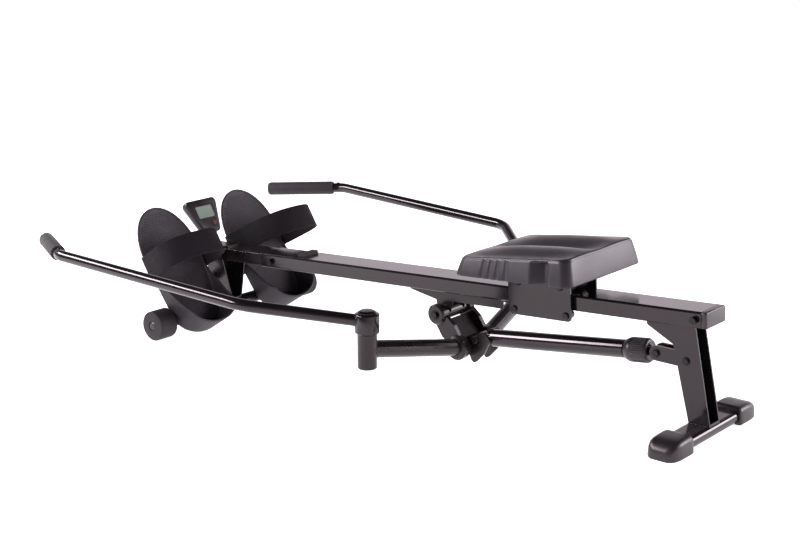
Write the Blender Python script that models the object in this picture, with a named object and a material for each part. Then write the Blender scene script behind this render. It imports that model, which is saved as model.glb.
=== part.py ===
"""Hydraulic rowing machine, modelled piece by piece.

X runs along the rail from the footplates (-X) to the rear leg (+X), Y across it, Z up.
Lengths are metres. The rower sits facing -X, so the left side is at -Y.
"""

import math

import bmesh
import bpy
from mathutils import Matrix, Vector

# Running gaps and sheet metal
GAP = 0.0003
BOLT_FIT = 0.0003
SHEET = 0.003
SIDES = {"left": -1, "right": 1}

# Rail: a flat rectangular steel tube that rises to the rear
RAIL_WIDTH = 0.0762
RAIL_HEIGHT = 0.033
RAIL_WALL = 0.002
RAIL_CORNER = 0.004
RAIL_SLOPE = math.radians(4.0)
RAIL_TOP_Z = 0.220
RAIL_FRONT = -0.405
RAIL_REAR = 0.776
END_CAP_LENGTH = 0.012
END_CAP_PLUG = 0.032

# Front frame: tongue into the rail, tapered channel post, round cross tube with wheels
TONGUE_FRONT = -0.598
TONGUE_REAR = -0.330
TONGUE_BOLT_X = -0.372
POST_DEPTH = 0.060
POST_TOP_HALF = 0.0445
POST_FOOT_HALF = 0.017
POST_CORNER = 0.010
POST_LEAN = 0.008
FRONT_POST_X = -0.568
STABILIZER_X = -0.541
STABILIZER_RADIUS = 0.015
STABILIZER_HALF = 0.216
WHEEL_RADIUS = 0.0355
WHEEL_LENGTH = 0.051
WHEEL_BORE = 0.0065

# Footplates, turning on one axle through the front post
PEDAL_TILT = math.radians(33.0)
PEDAL_AXLE_X = -0.5842
PEDAL_AXLE_Z = 0.096
PEDAL_AXLE_RADIUS = 0.007
PEDAL_TO_POST = 0.0055
PEDAL_OVER_WHEEL = 0.008
PEDAL_HALF_WIDTH = (STABILIZER_HALF + PEDAL_OVER_WHEEL - POST_TOP_HALF - PEDAL_TO_POST) / 2
PEDAL_Y = POST_TOP_HALF + PEDAL_TO_POST + PEDAL_HALF_WIDTH
PEDAL_HEEL_HALF = PEDAL_HALF_WIDTH - 0.011
PEDAL_TOE = 0.204
PEDAL_HEEL = -0.125
PEDAL_WIDEST = 0.084
PEDAL_STANDOFF = 0.0236
PEDAL_THICK = 0.005
PEDAL_RIM = 0.0025
PEDAL_EAR_AT = 0.040
PEDAL_EAR_HALF = 0.006
HEEL_CUP_HEIGHT = 0.066
HEEL_CUP_START = 0.020
HEEL_CUP_FULL = -0.085
HEEL_CUP_WALL = 0.005
STRAP_WIDTH = 0.060
STRAP_THICK = 0.004
STRAP_ALONG = 0.060
STRAP_HEIGHTS = {"left": 0.122, "right": 0.172}
STRAP_LEANS = {"left": 0.0, "right": 0.012}

# Display on its arm in front of the post
CONSOLE_TILT = math.radians(33.0)
CONSOLE_X = -0.6302
CONSOLE_Z = 0.2444
CONSOLE_TOP_HALF = 0.053
CONSOLE_FOOT_HALF = 0.026
CONSOLE_LENGTH = 0.090
CONSOLE_THICK = 0.022
CONSOLE_ARM_X = -0.640
CONSOLE_ARM_HALF = 0.020
CONSOLE_PAD_DOWN = 0.024
SCREEN_WIDTH = 0.052
SCREEN_LENGTH = 0.032
SCREEN_UP = 0.010
BUTTON_RADIUS = 0.0055
BUTTON_SIDE = 0.014
BUTTON_DOWN = -0.022

# Seat and its carriage, in the rail's own frame
SEAT_X = 0.402
SEAT_HALF_LENGTH = 0.132
SEAT_TOP_HALF = 0.126
SEAT_SKIRT_LENGTH = 0.143
SEAT_SKIRT_HALF = 0.138
SEAT_RECESS_X = 0.480
SEAT_RECESS_HALF = 0.034
SEAT_RECESS_DEPTH = 0.006
SEAT_UNDERSIDE = 0.0395
SEAT_FRONT_HEIGHT = 0.037
SEAT_REAR_HEIGHT = 0.055
SEAT_CHEEK = 0.016
SEAT_PAN_THICK = 0.004
SEAT_PAN_HALF_LENGTH = 0.100
SEAT_PAN_HALF = 0.085
SEAT_PAN_BACK = 0.005
CARRIAGE_X = 0.412
CARRIAGE_LENGTH = 0.154
CARRIAGE_HALF = 0.0490
CARRIAGE_DROP = 0.021
ROLLER_RADIUS = 0.0155
ROLLER_HALF = 0.030
ROLLER_SPREAD = 0.052
ROLLER_BORE = 0.0044
ROLLER_AXLE = 0.004
KEEPER_RADIUS = 0.0085
KEEPER_SPREAD = 0.064
KEEPER_INNER = 0.0285
KEEPER_OUTER = 0.0390
FRONT_STOP_X = -0.284
STOP_LENGTH = 0.020
STOP_HEIGHT = 0.008
REAR_STOP_X = 0.762
STOP_HEAD = 0.0075
STOP_REACH = 0.0473

# Rear leg: a channel open to the rear, leaning on its cross tube
LEG_TOP_X = 0.7185
LEG_LEAN = math.radians(15.4)
LEG_DEPTH = 0.043
LEG_WIDTH = 0.040
LEG_TOP_FLARE = 0.015
LEG_SOLE = 0.005
LEG_BOLT_DOWN = 0.075
GUSSET_LENGTH = 0.050
GUSSET_DROP = 0.042
FOOT_BEHIND_TOP = 0.054
FOOT_X = LEG_TOP_X + FOOT_BEHIND_TOP
FOOT_TUBE_WIDTH = 0.056
FOOT_TUBE_HEIGHT = 0.0235
FOOT_TUBE_LIFT = 0.004
FOOT_TUBE_CORNER = 0.009
FOOT_TUBE_HALF = 0.118
FOOT_CAP_HALF = 0.168
FOOT_CAP_LENGTH = 0.075
FOOT_CAP_WIDTH = 0.070
FOOT_CAP_HEIGHT = 0.037
FOOT_WALL = 0.002

# The floor, which rises a little to the rear in the frame that the machine is drawn in
FLOOR_SLOPE = math.radians(0.586)

# Arm crank, turning on one bolt across the saddle under the rail
SADDLE_FRONT = 0.046
SADDLE_REAR = 0.302
SADDLE_DROP = 0.021
SADDLE_HALF = 0.025
PIVOT_X = 0.147
PIVOT_Z = 0.150
PIVOT_TUBE_RADIUS = 0.0165
PIVOT_TUBE_HALF = 0.0385
PIVOT_BOLT_RADIUS = 0.006
BOSS_RADIUS = 0.023
BOSS_DEPTH = 0.018
CROSS_X = 0.206
CROSS_Z = 0.087
CROSS_RADIUS = 0.016
CROSS_HALF = 0.060
LOBE_RADIUS = 0.0265
LINK_THICK = 0.010
LINK_WAIST = 0.044
WEB_START = 0.0205
WEB_HALF = 0.006
LUG_X = 0.2335
LUG_Z = 0.1045
LUG_THICK = 0.006
LUG_GAP = 0.0195
LUG_REACH = 0.132
LUG_ANGLES = (-18.0, -34.0, -52.0)
LUG_CORNER = 0.008
PIN_SEAT_RADIUS = 0.0095
PIN_SEAT_GAP = 0.0006
SWING_RADIUS = 0.0185

# Elbows and handles
ELBOW_X = 0.150
ELBOW_Y = 0.283
ELBOW_FOOT_Z = 0.090
ELBOW_SEAM_Z = 0.166
ELBOW_TOP_Z = 0.208
ELBOW_RADIUS = 0.0205
COLLAR_RADIUS = 0.0255
ELBOW_PIN_RADIUS = 0.006
SWING_TUBE_Z = 0.131
HANDLE_RADIUS = 0.0127
HANDLE_ROUTE = ((0.150, 0.283, 0.1895), (-0.0438, 0.4534, 0.2267),
                (-0.6013, 0.4742, 0.2409), (-0.7804, 0.3766, 0.2293))
HANDLE_BENDS = (0.085, 0.055)
GRIP_RADIUS = 0.0175
GRIP_LENGTH = 0.178
GRIP_END = 0.006

# Hydraulic cylinder, from the rear leg to the crank
CLEVIS_X = 0.669
CLEVIS_Z = 0.1645
CLEVIS_EYE_HALF = 0.009
CLEVIS_RADIUS = 0.0155
CLEVIS_WALL = 0.005
CLEVIS_PIN_RADIUS = 0.005
BODY_RADIUS = 0.019
BODY_FRONT = 0.409
BODY_REAR = 0.046
DIAL_FRONT = 0.074
DIAL_REAR = 0.020
DIAL_RADIUS = 0.026
ROD_RADIUS = 0.007
ROD_FIT = 0.0004
ROD_REACH = 0.165
ROD_EYE_RADIUS = 0.0115
ROD_EYE_HALF = 0.0105
BORE_RADIUS = 0.0155
BORE_DEPTH = 0.290


def painted(name, colour, roughness, metallic=0.0):
    """Plain Principled material of one colour."""
    material = bpy.data.materials.new(name)
    material.use_nodes = True
    shader = material.node_tree.nodes["Principled BSDF"]
    shader.inputs["Base Color"].default_value = (*colour, 1.0)
    shader.inputs["Roughness"].default_value = roughness
    shader.inputs["Metallic"].default_value = metallic
    material.diffuse_color = (*colour, 1.0)
    return material


def clear_scene():
    """Remove what the default scene holds."""
    for item in list(bpy.data.objects):
        bpy.data.objects.remove(item, do_unlink=True)


def add_mesh(name, mesh, frame, material=None):
    """Link a mesh as an object standing at a frame."""
    item = bpy.data.objects.new(name, mesh)
    bpy.context.scene.collection.objects.link(item)
    item.matrix_world = frame
    if material:
        mesh.materials.clear()
        mesh.materials.append(material)
    return item


def finish_mesh(build, name, sharp=35.0):
    """Turn a bmesh into a mesh with outward faces, smooth except at its edges."""
    bmesh.ops.remove_doubles(build, verts=build.verts, dist=1e-6)
    bmesh.ops.recalc_face_normals(build, faces=build.faces)
    mesh = bpy.data.meshes.new(name)
    build.to_mesh(mesh)
    build.free()
    mesh.shade_smooth()
    mesh.set_sharp_from_angle(angle=math.radians(sharp))
    return mesh


def at(x, y, z):
    """Frame at a point, along the world's axes."""
    return Matrix.Translation((x, y, z))


def toward(point, direction, upright=(0, 0, 1)):
    """Frame at a point with its Z along a direction and its Y near upright."""
    z_axis = Vector(direction).normalized()
    up = Vector(upright)
    if abs(z_axis.dot(up.normalized())) > 0.99:
        up = Vector((0, 1, 0))
    x_axis = up.cross(z_axis).normalized()
    y_axis = z_axis.cross(x_axis)
    turn = Matrix((x_axis, y_axis, z_axis)).transposed().to_4x4()
    return Matrix.Translation(Vector(point)) @ turn


def rail_frame(x=0.0, height=0.0):
    """Frame on the rail: X along it, Z square to it, zero height on its top face."""
    base = Matrix.Translation((0, 0, RAIL_TOP_Z)) @ Matrix.Rotation(-RAIL_SLOPE, 4, "Y")
    return base @ Matrix.Translation((x, 0, height))


def floor_frame(x):
    """Frame on the floor under x: X along the floor, Z square to it."""
    under_wheel = WHEEL_RADIUS - WHEEL_RADIUS / math.cos(FLOOR_SLOPE)
    height = under_wheel + (x - STABILIZER_X) * math.tan(FLOOR_SLOPE)
    return at(x, 0, height) @ Matrix.Rotation(-FLOOR_SLOPE, 4, "Y")


def turned(name, profile, frame, segments=24, material=None):
    """Solid of revolution about the frame's Z; profile rows are (radius, height)."""
    build = bmesh.new()
    rings = []
    for radius, height in profile:
        if radius < 1e-7:
            rings.append([build.verts.new((0, 0, height))])
            continue
        turns = [2 * math.pi * step / segments for step in range(segments)]
        rings.append([build.verts.new((radius * math.cos(a), radius * math.sin(a), height)) for a in turns])
    closed = profile[0][0] > 1e-7
    pairs = list(zip(rings, rings[1:]))
    if closed:
        pairs.append((rings[-1], rings[0]))
    for low, high in pairs:
        for step in range(segments):
            after = (step + 1) % segments
            corners = [low[step % len(low)], low[after % len(low)],
                       high[after % len(high)], high[step % len(high)]]
            unique = list(dict.fromkeys(corners))
            if len(unique) > 2:
                build.faces.new(unique)
    return add_mesh(name, finish_mesh(build, name), frame, material)


def rounded(points, radius, steps=4):
    """Polygon outline with each corner rounded by an arc."""
    radii = radius if isinstance(radius, (list, tuple)) else [radius] * len(points)
    outline = []
    for index, corner in enumerate(points):
        here = Vector(corner)
        before = (Vector(points[index - 1]) - here)
        after = (Vector(points[(index + 1) % len(points)]) - here)
        size = radii[index]
        if size <= 0:
            outline.append(tuple(here))
            continue
        half = before.angle(after) / 2
        reach = min(size / math.tan(half), 0.49 * before.length, 0.49 * after.length)
        size = reach * math.tan(half)
        middle = here + (before.normalized() + after.normalized()).normalized() * (size / math.sin(half))
        start = here + before.normalized() * reach - middle
        end = here + after.normalized() * reach - middle
        first = math.atan2(start.y, start.x)
        sweep = math.atan2(end.y, end.x) - first
        sweep = (sweep + math.pi) % (2 * math.pi) - math.pi
        for step in range(steps + 1):
            angle = first + sweep * step / steps
            outline.append((middle.x + size * math.cos(angle), middle.y + size * math.sin(angle)))
    return outline


def box_outline(width, height, radius=0.0, steps=3):
    """Rectangle about the origin, with rounded corners where a radius is given."""
    side, end = width / 2, height / 2
    corners = [(-side, -end), (side, -end), (side, end), (-side, end)]
    return rounded(corners, radius, steps) if radius > 0 else corners


def prism(name, outline, low, high, frame, material=None):
    """Outline in the frame's XY plane, drawn out along Z from low to high."""
    build = bmesh.new()
    bottom = [build.verts.new((x, y, low)) for x, y in outline]
    top = [build.verts.new((x, y, high)) for x, y in outline]
    build.faces.new(bottom)
    build.faces.new(top)
    for index in range(len(outline)):
        after = (index + 1) % len(outline)
        build.faces.new((bottom[index], bottom[after], top[after], top[index]))
    return add_mesh(name, finish_mesh(build, name), frame, material)


def block(name, low, high, frame, material=None):
    """Box between two corners of a frame."""
    outline = [(low[0], low[1]), (high[0], low[1]), (high[0], high[1]), (low[0], high[1])]
    return prism(name, outline, low[2], high[2], frame, material)


def smooth_route(points, bends, steps=6):
    """Points of a bent tube's centre line, with an arc at each inner corner."""
    route = [Vector(points[0])]
    for index, radius in enumerate(bends, start=1):
        here = Vector(points[index])
        back = (Vector(points[index - 1]) - here).normalized()
        on = (Vector(points[index + 1]) - here).normalized()
        half = back.angle(on) / 2
        reach = radius / math.tan(half)
        middle = here + (back + on).normalized() * (radius / math.sin(half))
        start = here + back * reach - middle
        end = here + on * reach - middle
        turn = start.angle(end)
        for step in range(steps + 1):
            share = step / steps
            offset = (start * math.sin((1 - share) * turn) + end * math.sin(share * turn)) / math.sin(turn)
            route.append(middle + offset)
    route.append(Vector(points[-1]))
    return route


def tube(name, route, radius, sides, material=None, bore=0.0):
    """Round bar along a route, square cut at its ends; with a bore it is a tube."""
    build = bmesh.new()
    walls = [radius] if bore <= 0 else [radius, bore]
    side_axis = None
    skins = [[] for _ in walls]
    for index, point in enumerate(route):
        before = route[max(index - 1, 0)]
        after = route[min(index + 1, len(route) - 1)]
        heading = (after - before).normalized()
        if side_axis is None:
            side_axis = heading.orthogonal().normalized()
        side_axis = (side_axis - heading * side_axis.dot(heading)).normalized()
        other = heading.cross(side_axis)
        for skin, size in zip(skins, walls):
            ring = []
            for step in range(sides):
                angle = 2 * math.pi * step / sides
                place = point + (side_axis * math.cos(angle) + other * math.sin(angle)) * size
                ring.append(build.verts.new(place))
            skin.append(ring)
    for skin in skins:
        for low, high in zip(skin, skin[1:]):
            for step in range(sides):
                after = (step + 1) % sides
                build.faces.new((low[step], low[after], high[after], high[step]))
    for end in (0, -1):
        if len(skins) == 1:
            build.faces.new(skins[0][end])
            continue
        for step in range(sides):
            after = (step + 1) % sides
            outer, inner = skins[0][end], skins[1][end]
            build.faces.new((outer[step], outer[after], inner[after], inner[step]))
    return add_mesh(name, finish_mesh(build, name, 50.0), Matrix.Identity(4), material)


def combine(base, others, operation="UNION"):
    """Join or cut solids, then drop the helpers."""
    for other in others:
        other.display_type = "WIRE"
        other.hide_render = True
        step = base.modifiers.new(operation.title(), "BOOLEAN")
        step.operation = operation
        step.solver = "EXACT"
        step.object = other
    bpy.context.view_layer.update()
    graph = bpy.context.evaluated_depsgraph_get()
    solved = bpy.data.meshes.new_from_object(base.evaluated_get(graph))
    base.modifiers.clear()
    materials = list(base.data.materials)
    base.data = solved
    solved.materials.clear()
    for material in materials:
        solved.materials.append(material)
    solved.shade_smooth()
    solved.set_sharp_from_angle(angle=math.radians(35.0))
    for other in others:
        bpy.data.objects.remove(other, do_unlink=True)
    return base


def cut(base, *cutters):
    """Take cutters out of a solid."""
    return combine(base, cutters, "DIFFERENCE")


def drill(base, point, direction, radius, length, segments=16):
    """Round hole through a solid, centred on a point."""
    hole = turned("hole", [(0, -length / 2), (radius, -length / 2), (radius, length / 2), (0, length / 2)],
                  toward(point, direction), segments)
    return cut(base, hole)


def rod_profile(radius, low, high, chamfer=0.0):
    """Profile of a plain round bar with chamfered ends."""
    if chamfer <= 0:
        return [(0, low), (radius, low), (radius, high), (0, high)]
    return [(0, low), (radius - chamfer, low), (radius, low + chamfer),
            (radius, high - chamfer), (radius - chamfer, high), (0, high)]


def bolt(name, start, direction, radius, length, head, material):
    """Bolt from under its head to under its nut, each with a washer; its ends are hexagons."""
    thick, washer = head * 0.62, 0.0014
    half = [("hex", head * 0.94, -thick), ("hex", head, 0.0008 - thick), ("hex", head, -washer),
            (head * 1.22, -washer), (head * 1.22, 0.0), (radius, 0.0)]
    rows = half + [(*row[:-1], length - row[-1]) for row in reversed(half)]
    build = bmesh.new()
    rings = []
    for row in rows:
        ring = []
        for step in range(12):
            angle = math.pi * step / 6
            flat = math.cos(math.pi / 6) if row[0] == "hex" and step % 2 else 1.0
            size = row[-2] * flat
            ring.append(build.verts.new((size * math.cos(angle), size * math.sin(angle), row[-1])))
        rings.append(ring)
    for low, high in zip(rings, rings[1:]):
        for step in range(12):
            after = (step + 1) % 12
            build.faces.new((low[step], low[after], high[after], high[step]))
    build.faces.new(rings[0])
    build.faces.new(rings[-1])
    return add_mesh(name, finish_mesh(build, name), toward(start, direction), material)


def cap_screw(name, start, direction, radius, length, head, material, dome=0.35):
    """Dome-headed screw whose shank runs from its head along a direction."""
    frame = toward(start, direction)
    profile = [(0, length), (radius, length), (radius, 0), (head, 0), (head, -head * dome * 0.45),
               (head * 0.72, -head * dome), (0, -head * dome * 1.15)]
    return turned(name, list(reversed(profile)), frame, 16, material)


def set_body(name, frame, pieces):
    """Empty on a joint's axis that carries the pieces that move with it."""
    holder = bpy.data.objects.new(name, None)
    bpy.context.scene.collection.objects.link(holder)
    holder.empty_display_size = 0.03
    holder.matrix_world = frame
    bpy.context.view_layer.update()
    for piece in pieces:
        world = piece.matrix_world.copy()
        piece.parent = holder
        piece.matrix_parent_inverse = holder.matrix_world.inverted()
        piece.matrix_world = world
    return holder


def along_rail(name, width, height, low, high, centre, material=None, corner=RAIL_CORNER):
    """Rounded bar along the rail; centre is its height from the rail's top face."""
    frame = rail_frame() @ Matrix.Rotation(math.pi / 2, 4, "Y") @ Matrix.Rotation(math.pi / 2, 4, "Z")
    shifted = [(x, y + centre) for x, y in box_outline(width, height, corner)]
    return prism(name, shifted, low, high, frame, material)


def make_rail(paint, plastic, steel):
    """Main tube and the block that closes its rear end."""
    middle = -RAIL_HEIGHT / 2
    rail = along_rail("main_beam", RAIL_WIDTH, RAIL_HEIGHT, RAIL_FRONT, RAIL_REAR, middle, paint)
    inner = (RAIL_WIDTH - 2 * RAIL_WALL, RAIL_HEIGHT - 2 * RAIL_WALL)
    cut(rail, along_rail("bore", *inner, RAIL_FRONT - 0.01, RAIL_REAR + 0.01, middle, None,
                         RAIL_CORNER - RAIL_WALL))
    for x in (TONGUE_BOLT_X, REAR_STOP_X):
        drill(rail, rail_frame(x, middle).translation, (0, 1, 0), 0.004 + BOLT_FIT, 0.2)
    start = RAIL_REAR + GAP
    cap = along_rail("beam_rear_cap", RAIL_WIDTH, RAIL_HEIGHT, start, start + END_CAP_LENGTH, middle,
                     plastic, 0.006)
    plug = along_rail("plug", inner[0] - 2 * GAP, inner[1] - 2 * GAP, start - END_CAP_PLUG, start + 0.005, middle,
                      None, RAIL_CORNER - RAIL_WALL)
    combine(cap, [plug])
    centre = rail_frame(REAR_STOP_X, middle).translation
    drill(cap, centre, (0, 1, 0), 0.004 + BOLT_FIT, 0.2)
    return [rail, cap, stop_bolt("rear_stop_bolt", centre, steel)]


def front_post(paint):
    """Tapered channel open to the rear, welded to the tongue that enters the rail."""
    middle = -RAIL_HEIGHT / 2
    width = RAIL_WIDTH - 2 * RAIL_WALL - 2 * GAP
    height = RAIL_HEIGHT - 2 * RAIL_WALL - 2 * GAP
    tongue = along_rail("front_post", width, height, TONGUE_FRONT, TONGUE_REAR, middle, paint, 0.002)
    hollow = along_rail("hollow", width - 2 * SHEET, height - 2 * SHEET, TONGUE_FRONT + 0.05, TONGUE_REAR + 0.01,
                        middle, None, 0.0)
    top = RAIL_TOP_Z + FRONT_POST_X * math.tan(RAIL_SLOPE) - 0.007
    foot = WHEEL_RADIUS + STABILIZER_RADIUS - 0.004
    slant = math.atan2(POST_LEAN, top - foot)
    frame = toward((FRONT_POST_X, 0, top), (math.cos(slant), 0, math.sin(slant)), (0, 0, 1))
    drop = (top - foot) / math.cos(slant)

    def trapezoid(inset, extra=0.0):
        """Outline of the post seen from the rear, drawn in by a wall."""
        points = [(-POST_TOP_HALF + inset, extra - inset), (-POST_FOOT_HALF + inset, -drop - extra + inset),
                  (POST_FOOT_HALF - inset, -drop - extra + inset), (POST_TOP_HALF - inset, extra - inset)]
        return rounded(points, max(POST_CORNER - inset, 0.003), 3)

    channel = prism("channel", trapezoid(0.0), -POST_DEPTH / 2, POST_DEPTH / 2, frame)
    inside = prism("inside", trapezoid(SHEET), -POST_DEPTH / 2 + SHEET, POST_DEPTH / 2 + 0.01, frame)
    cut(channel, inside)
    post = combine(tongue, [channel])
    cut(post, hollow)
    return post


def make_front(paint, steel):
    """Front post, cross tube, axle of the footplates, and the tongue bolt."""
    post = front_post(paint)
    centre = rail_frame(TONGUE_BOLT_X, -RAIL_HEIGHT / 2).translation
    drill(post, centre, (0, 1, 0), 0.004 + BOLT_FIT, 0.2)
    drill(post, (PEDAL_AXLE_X, 0, PEDAL_AXLE_Z), (0, 1, 0), PEDAL_AXLE_RADIUS + BOLT_FIT, 0.3)
    profile = [(0, -STABILIZER_HALF), (STABILIZER_RADIUS, -STABILIZER_HALF), (STABILIZER_RADIUS, STABILIZER_HALF),
               (0, STABILIZER_HALF)]
    tube_frame = toward((STABILIZER_X, 0, WHEEL_RADIUS), (0, 1, 0))
    cross = turned("front_stabilizer", profile, tube_frame, 24, paint)
    for side in (-1, 1):
        end = (STABILIZER_X, side * STABILIZER_HALF, WHEEL_RADIUS)
        drill(cross, end, (0, 1, 0), WHEEL_BORE - 0.001 + BOLT_FIT, 0.05)
    wrap = turned("wrap", rod_profile(STABILIZER_RADIUS + GAP, -0.2, 0.2), tube_frame, 24)
    cut(post, wrap)
    inside = PEDAL_Y - PEDAL_EAR_AT - PEDAL_EAR_HALF - GAP
    outside = PEDAL_Y + PEDAL_EAR_AT + PEDAL_EAR_HALF + GAP
    collar, thick = PEDAL_AXLE_RADIUS + 0.004, 0.005
    half = [(PEDAL_AXLE_RADIUS, inside - thick), (collar, inside - thick), (collar, inside),
            (PEDAL_AXLE_RADIUS, inside), (PEDAL_AXLE_RADIUS, outside), (collar, outside),
            (collar, outside + thick - 0.001), (collar - 0.001, outside + thick), (0, outside + thick)]
    profile = [(radius, -along) for radius, along in reversed(half)] + half
    axle = turned("pedal_axle", profile, toward((PEDAL_AXLE_X, 0, PEDAL_AXLE_Z), (0, 1, 0)), 16, steel)
    return [post, cross, axle, stop_bolt("front_post_bolt", centre, steel)]


def make_wheels(rubber, steel):
    """Transport wheels and the bolts that they turn on."""
    made = {}
    for side, sign in SIDES.items():
        inner = STABILIZER_HALF + GAP
        outer = inner + WHEEL_LENGTH
        edge = 0.006
        profile = [(WHEEL_BORE, inner), (WHEEL_RADIUS - edge, inner), (WHEEL_RADIUS, inner + edge),
                   (WHEEL_RADIUS, outer - edge * 1.4), (WHEEL_RADIUS - edge, outer), (0.016, outer),
                   (0.0145, outer - 0.004), (WHEEL_BORE, outer - 0.004)]
        frame = toward((STABILIZER_X, 0, WHEEL_RADIUS), (0, sign, 0))
        wheel = turned(f"transport_wheel_{side}", profile, frame, 28, rubber)
        start = (STABILIZER_X, sign * (outer - 0.004 + GAP), WHEEL_RADIUS)
        screw = cap_screw(f"wheel_bolt_{side}", start, (0, -sign, 0), WHEEL_BORE - 0.001,
                          WHEEL_LENGTH + 0.016, 0.011, steel)
        made[side] = (wheel, screw)
    return made


def pedal_frame(sign):
    """Footplate's frame on the axle: X out of the plate to the rower, Z to the toe."""
    lean = Matrix.Rotation(-PEDAL_TILT, 4, "Y")
    return at(PEDAL_AXLE_X, sign * PEDAL_Y, PEDAL_AXLE_Z) @ lean


def pedal_outline(inset=0.0, steps=14):
    """Sole outline in (across, along): round toe, tapering sides, round heel."""
    half = PEDAL_HALF_WIDTH - inset
    heel = PEDAL_HEEL_HALF - inset
    toe = PEDAL_TOE - PEDAL_WIDEST - inset
    heel_centre = PEDAL_HEEL + PEDAL_HEEL_HALF * 0.72
    points = []
    for step in range(steps + 1):
        angle = math.pi * step / steps
        points.append((half * math.cos(angle), PEDAL_WIDEST + toe * math.sin(angle)))
    for step in range(steps + 1):
        angle = math.pi + math.pi * step / steps
        points.append((heel * math.cos(angle), heel_centre + (PEDAL_HEEL_HALF * 0.72 - inset) * math.sin(angle)))
    return points


def make_pedal(side, sign, plastic):
    """Footplate: rimmed sole, heel cup and the two ears that hold it on the axle."""
    frame = pedal_frame(sign)
    flat = frame @ Matrix(((0, 0, 1, 0), (1, 0, 0, 0), (0, 1, 0, 0), (0, 0, 0, 1)))
    back = PEDAL_STANDOFF - PEDAL_THICK
    full = PEDAL_STANDOFF + HEEL_CUP_HEIGHT
    rim = PEDAL_STANDOFF + PEDAL_RIM
    pedal = prism(f"pedal_{side}", pedal_outline(), back, full, flat, plastic)
    well = prism("well", pedal_outline(HEEL_CUP_WALL), PEDAL_STANDOFF, full + 0.1, flat)
    edge_frame = frame @ Matrix.Rotation(math.pi / 2, 4, "X")
    slope = prism("slope", [(rim, HEEL_CUP_START), (full, HEEL_CUP_FULL), (full + 0.1, HEEL_CUP_FULL),
                            (full + 0.1, 0.4), (rim, 0.4)], -0.2, 0.2, edge_frame)
    cut(pedal, well, slope)
    ears = []
    for ear in (-1, 1):
        ear_frame = frame @ Matrix.Translation((0, ear * PEDAL_EAR_AT, 0)) @ Matrix.Rotation(math.pi / 2, 4, "X")
        shape = rounded([(-0.012, -0.012), (back + 0.002, -0.024), (back + 0.002, 0.024), (-0.012, 0.012)],
                        [0.011, 0, 0, 0.011], 4)
        ears.append(prism("ear", shape, -PEDAL_EAR_HALF, PEDAL_EAR_HALF, ear_frame))
    combine(pedal, ears)
    return drill(pedal, frame.translation, (0, 1, 0), PEDAL_AXLE_RADIUS + BOLT_FIT, 0.2)


def strap_path(height, outside, steps=16):
    """Strap's centre line in (across, out of the plate), a slack loop round the sole."""
    edge = PEDAL_HALF_WIDTH + STRAP_THICK / 2 + GAP
    base = PEDAL_STANDOFF - PEDAL_THICK - STRAP_THICK / 2 - GAP
    low = PEDAL_STANDOFF + 0.004
    halves = []
    for bulge in (0.012, 0.0):
        half = [(edge - 0.034, base), (edge, base), (edge, low)]
        for step in range(1, steps // 2):
            angle = math.pi * step / steps
            across = (edge + bulge * math.sin(2 * angle)) * math.cos(angle) ** 0.7
            half.append((across, low + (height - 0.004) * math.sin(angle) ** 0.66))
        halves.append(half)
    outer, inner = halves
    points = outer + [(0, PEDAL_STANDOFF + height)] + [(-across, out) for across, out in reversed(inner)]
    return [Vector((0, across * outside, out)) for across, out in points]


def make_strap(side, sign, webbing):
    """Wide foot strap: a flat band along the loop, its ends tucked under the sole."""
    build = bmesh.new()
    height = STRAP_HEIGHTS[side]
    path = strap_path(height, sign)
    rings = []
    for index, point in enumerate(path):
        back = (point - path[max(index - 1, 0)]).normalized() if index else path[1] - path[0]
        on = (path[index + 1] - point).normalized() if index + 1 < len(path) else back
        heading = (back.normalized() + on).normalized()
        reach = STRAP_THICK / 2 / max(heading.dot(on.normalized()), 0.5)
        out = Vector((0, -heading.z, heading.y)) * reach
        ring = []
        for along, across in ((-1, -1), (1, -1), (1, 1), (-1, 1)):
            spot = point + out * across
            lean = STRAP_LEANS[side] * max(0.0, (point.z - PEDAL_STANDOFF) / height)
            ring.append(build.verts.new((spot.z, spot.y, STRAP_ALONG - lean + along * STRAP_WIDTH / 2)))
        rings.append(ring)
    for low, high in zip(rings, rings[1:]):
        for step in range(4):
            after = (step + 1) % 4
            build.faces.new((low[step], low[after], high[after], high[step]))
    build.faces.new(rings[0])
    build.faces.new(rings[-1])
    return add_mesh(f"strap_{side}", finish_mesh(build, f"strap_{side}"), pedal_frame(sign), webbing)


def console_frame():
    """Display's frame: Z out of its face, Y up the face."""
    return at(CONSOLE_X, 0, CONSOLE_Z) @ Matrix.Rotation(math.pi / 2, 4, "Z") @ Matrix.Rotation(
        math.pi / 2 - CONSOLE_TILT, 4, "X")


def button_frame():
    """Button's frame on the display's face."""
    return console_frame() @ Matrix.Translation((BUTTON_SIDE, BUTTON_DOWN, 0))


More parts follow.
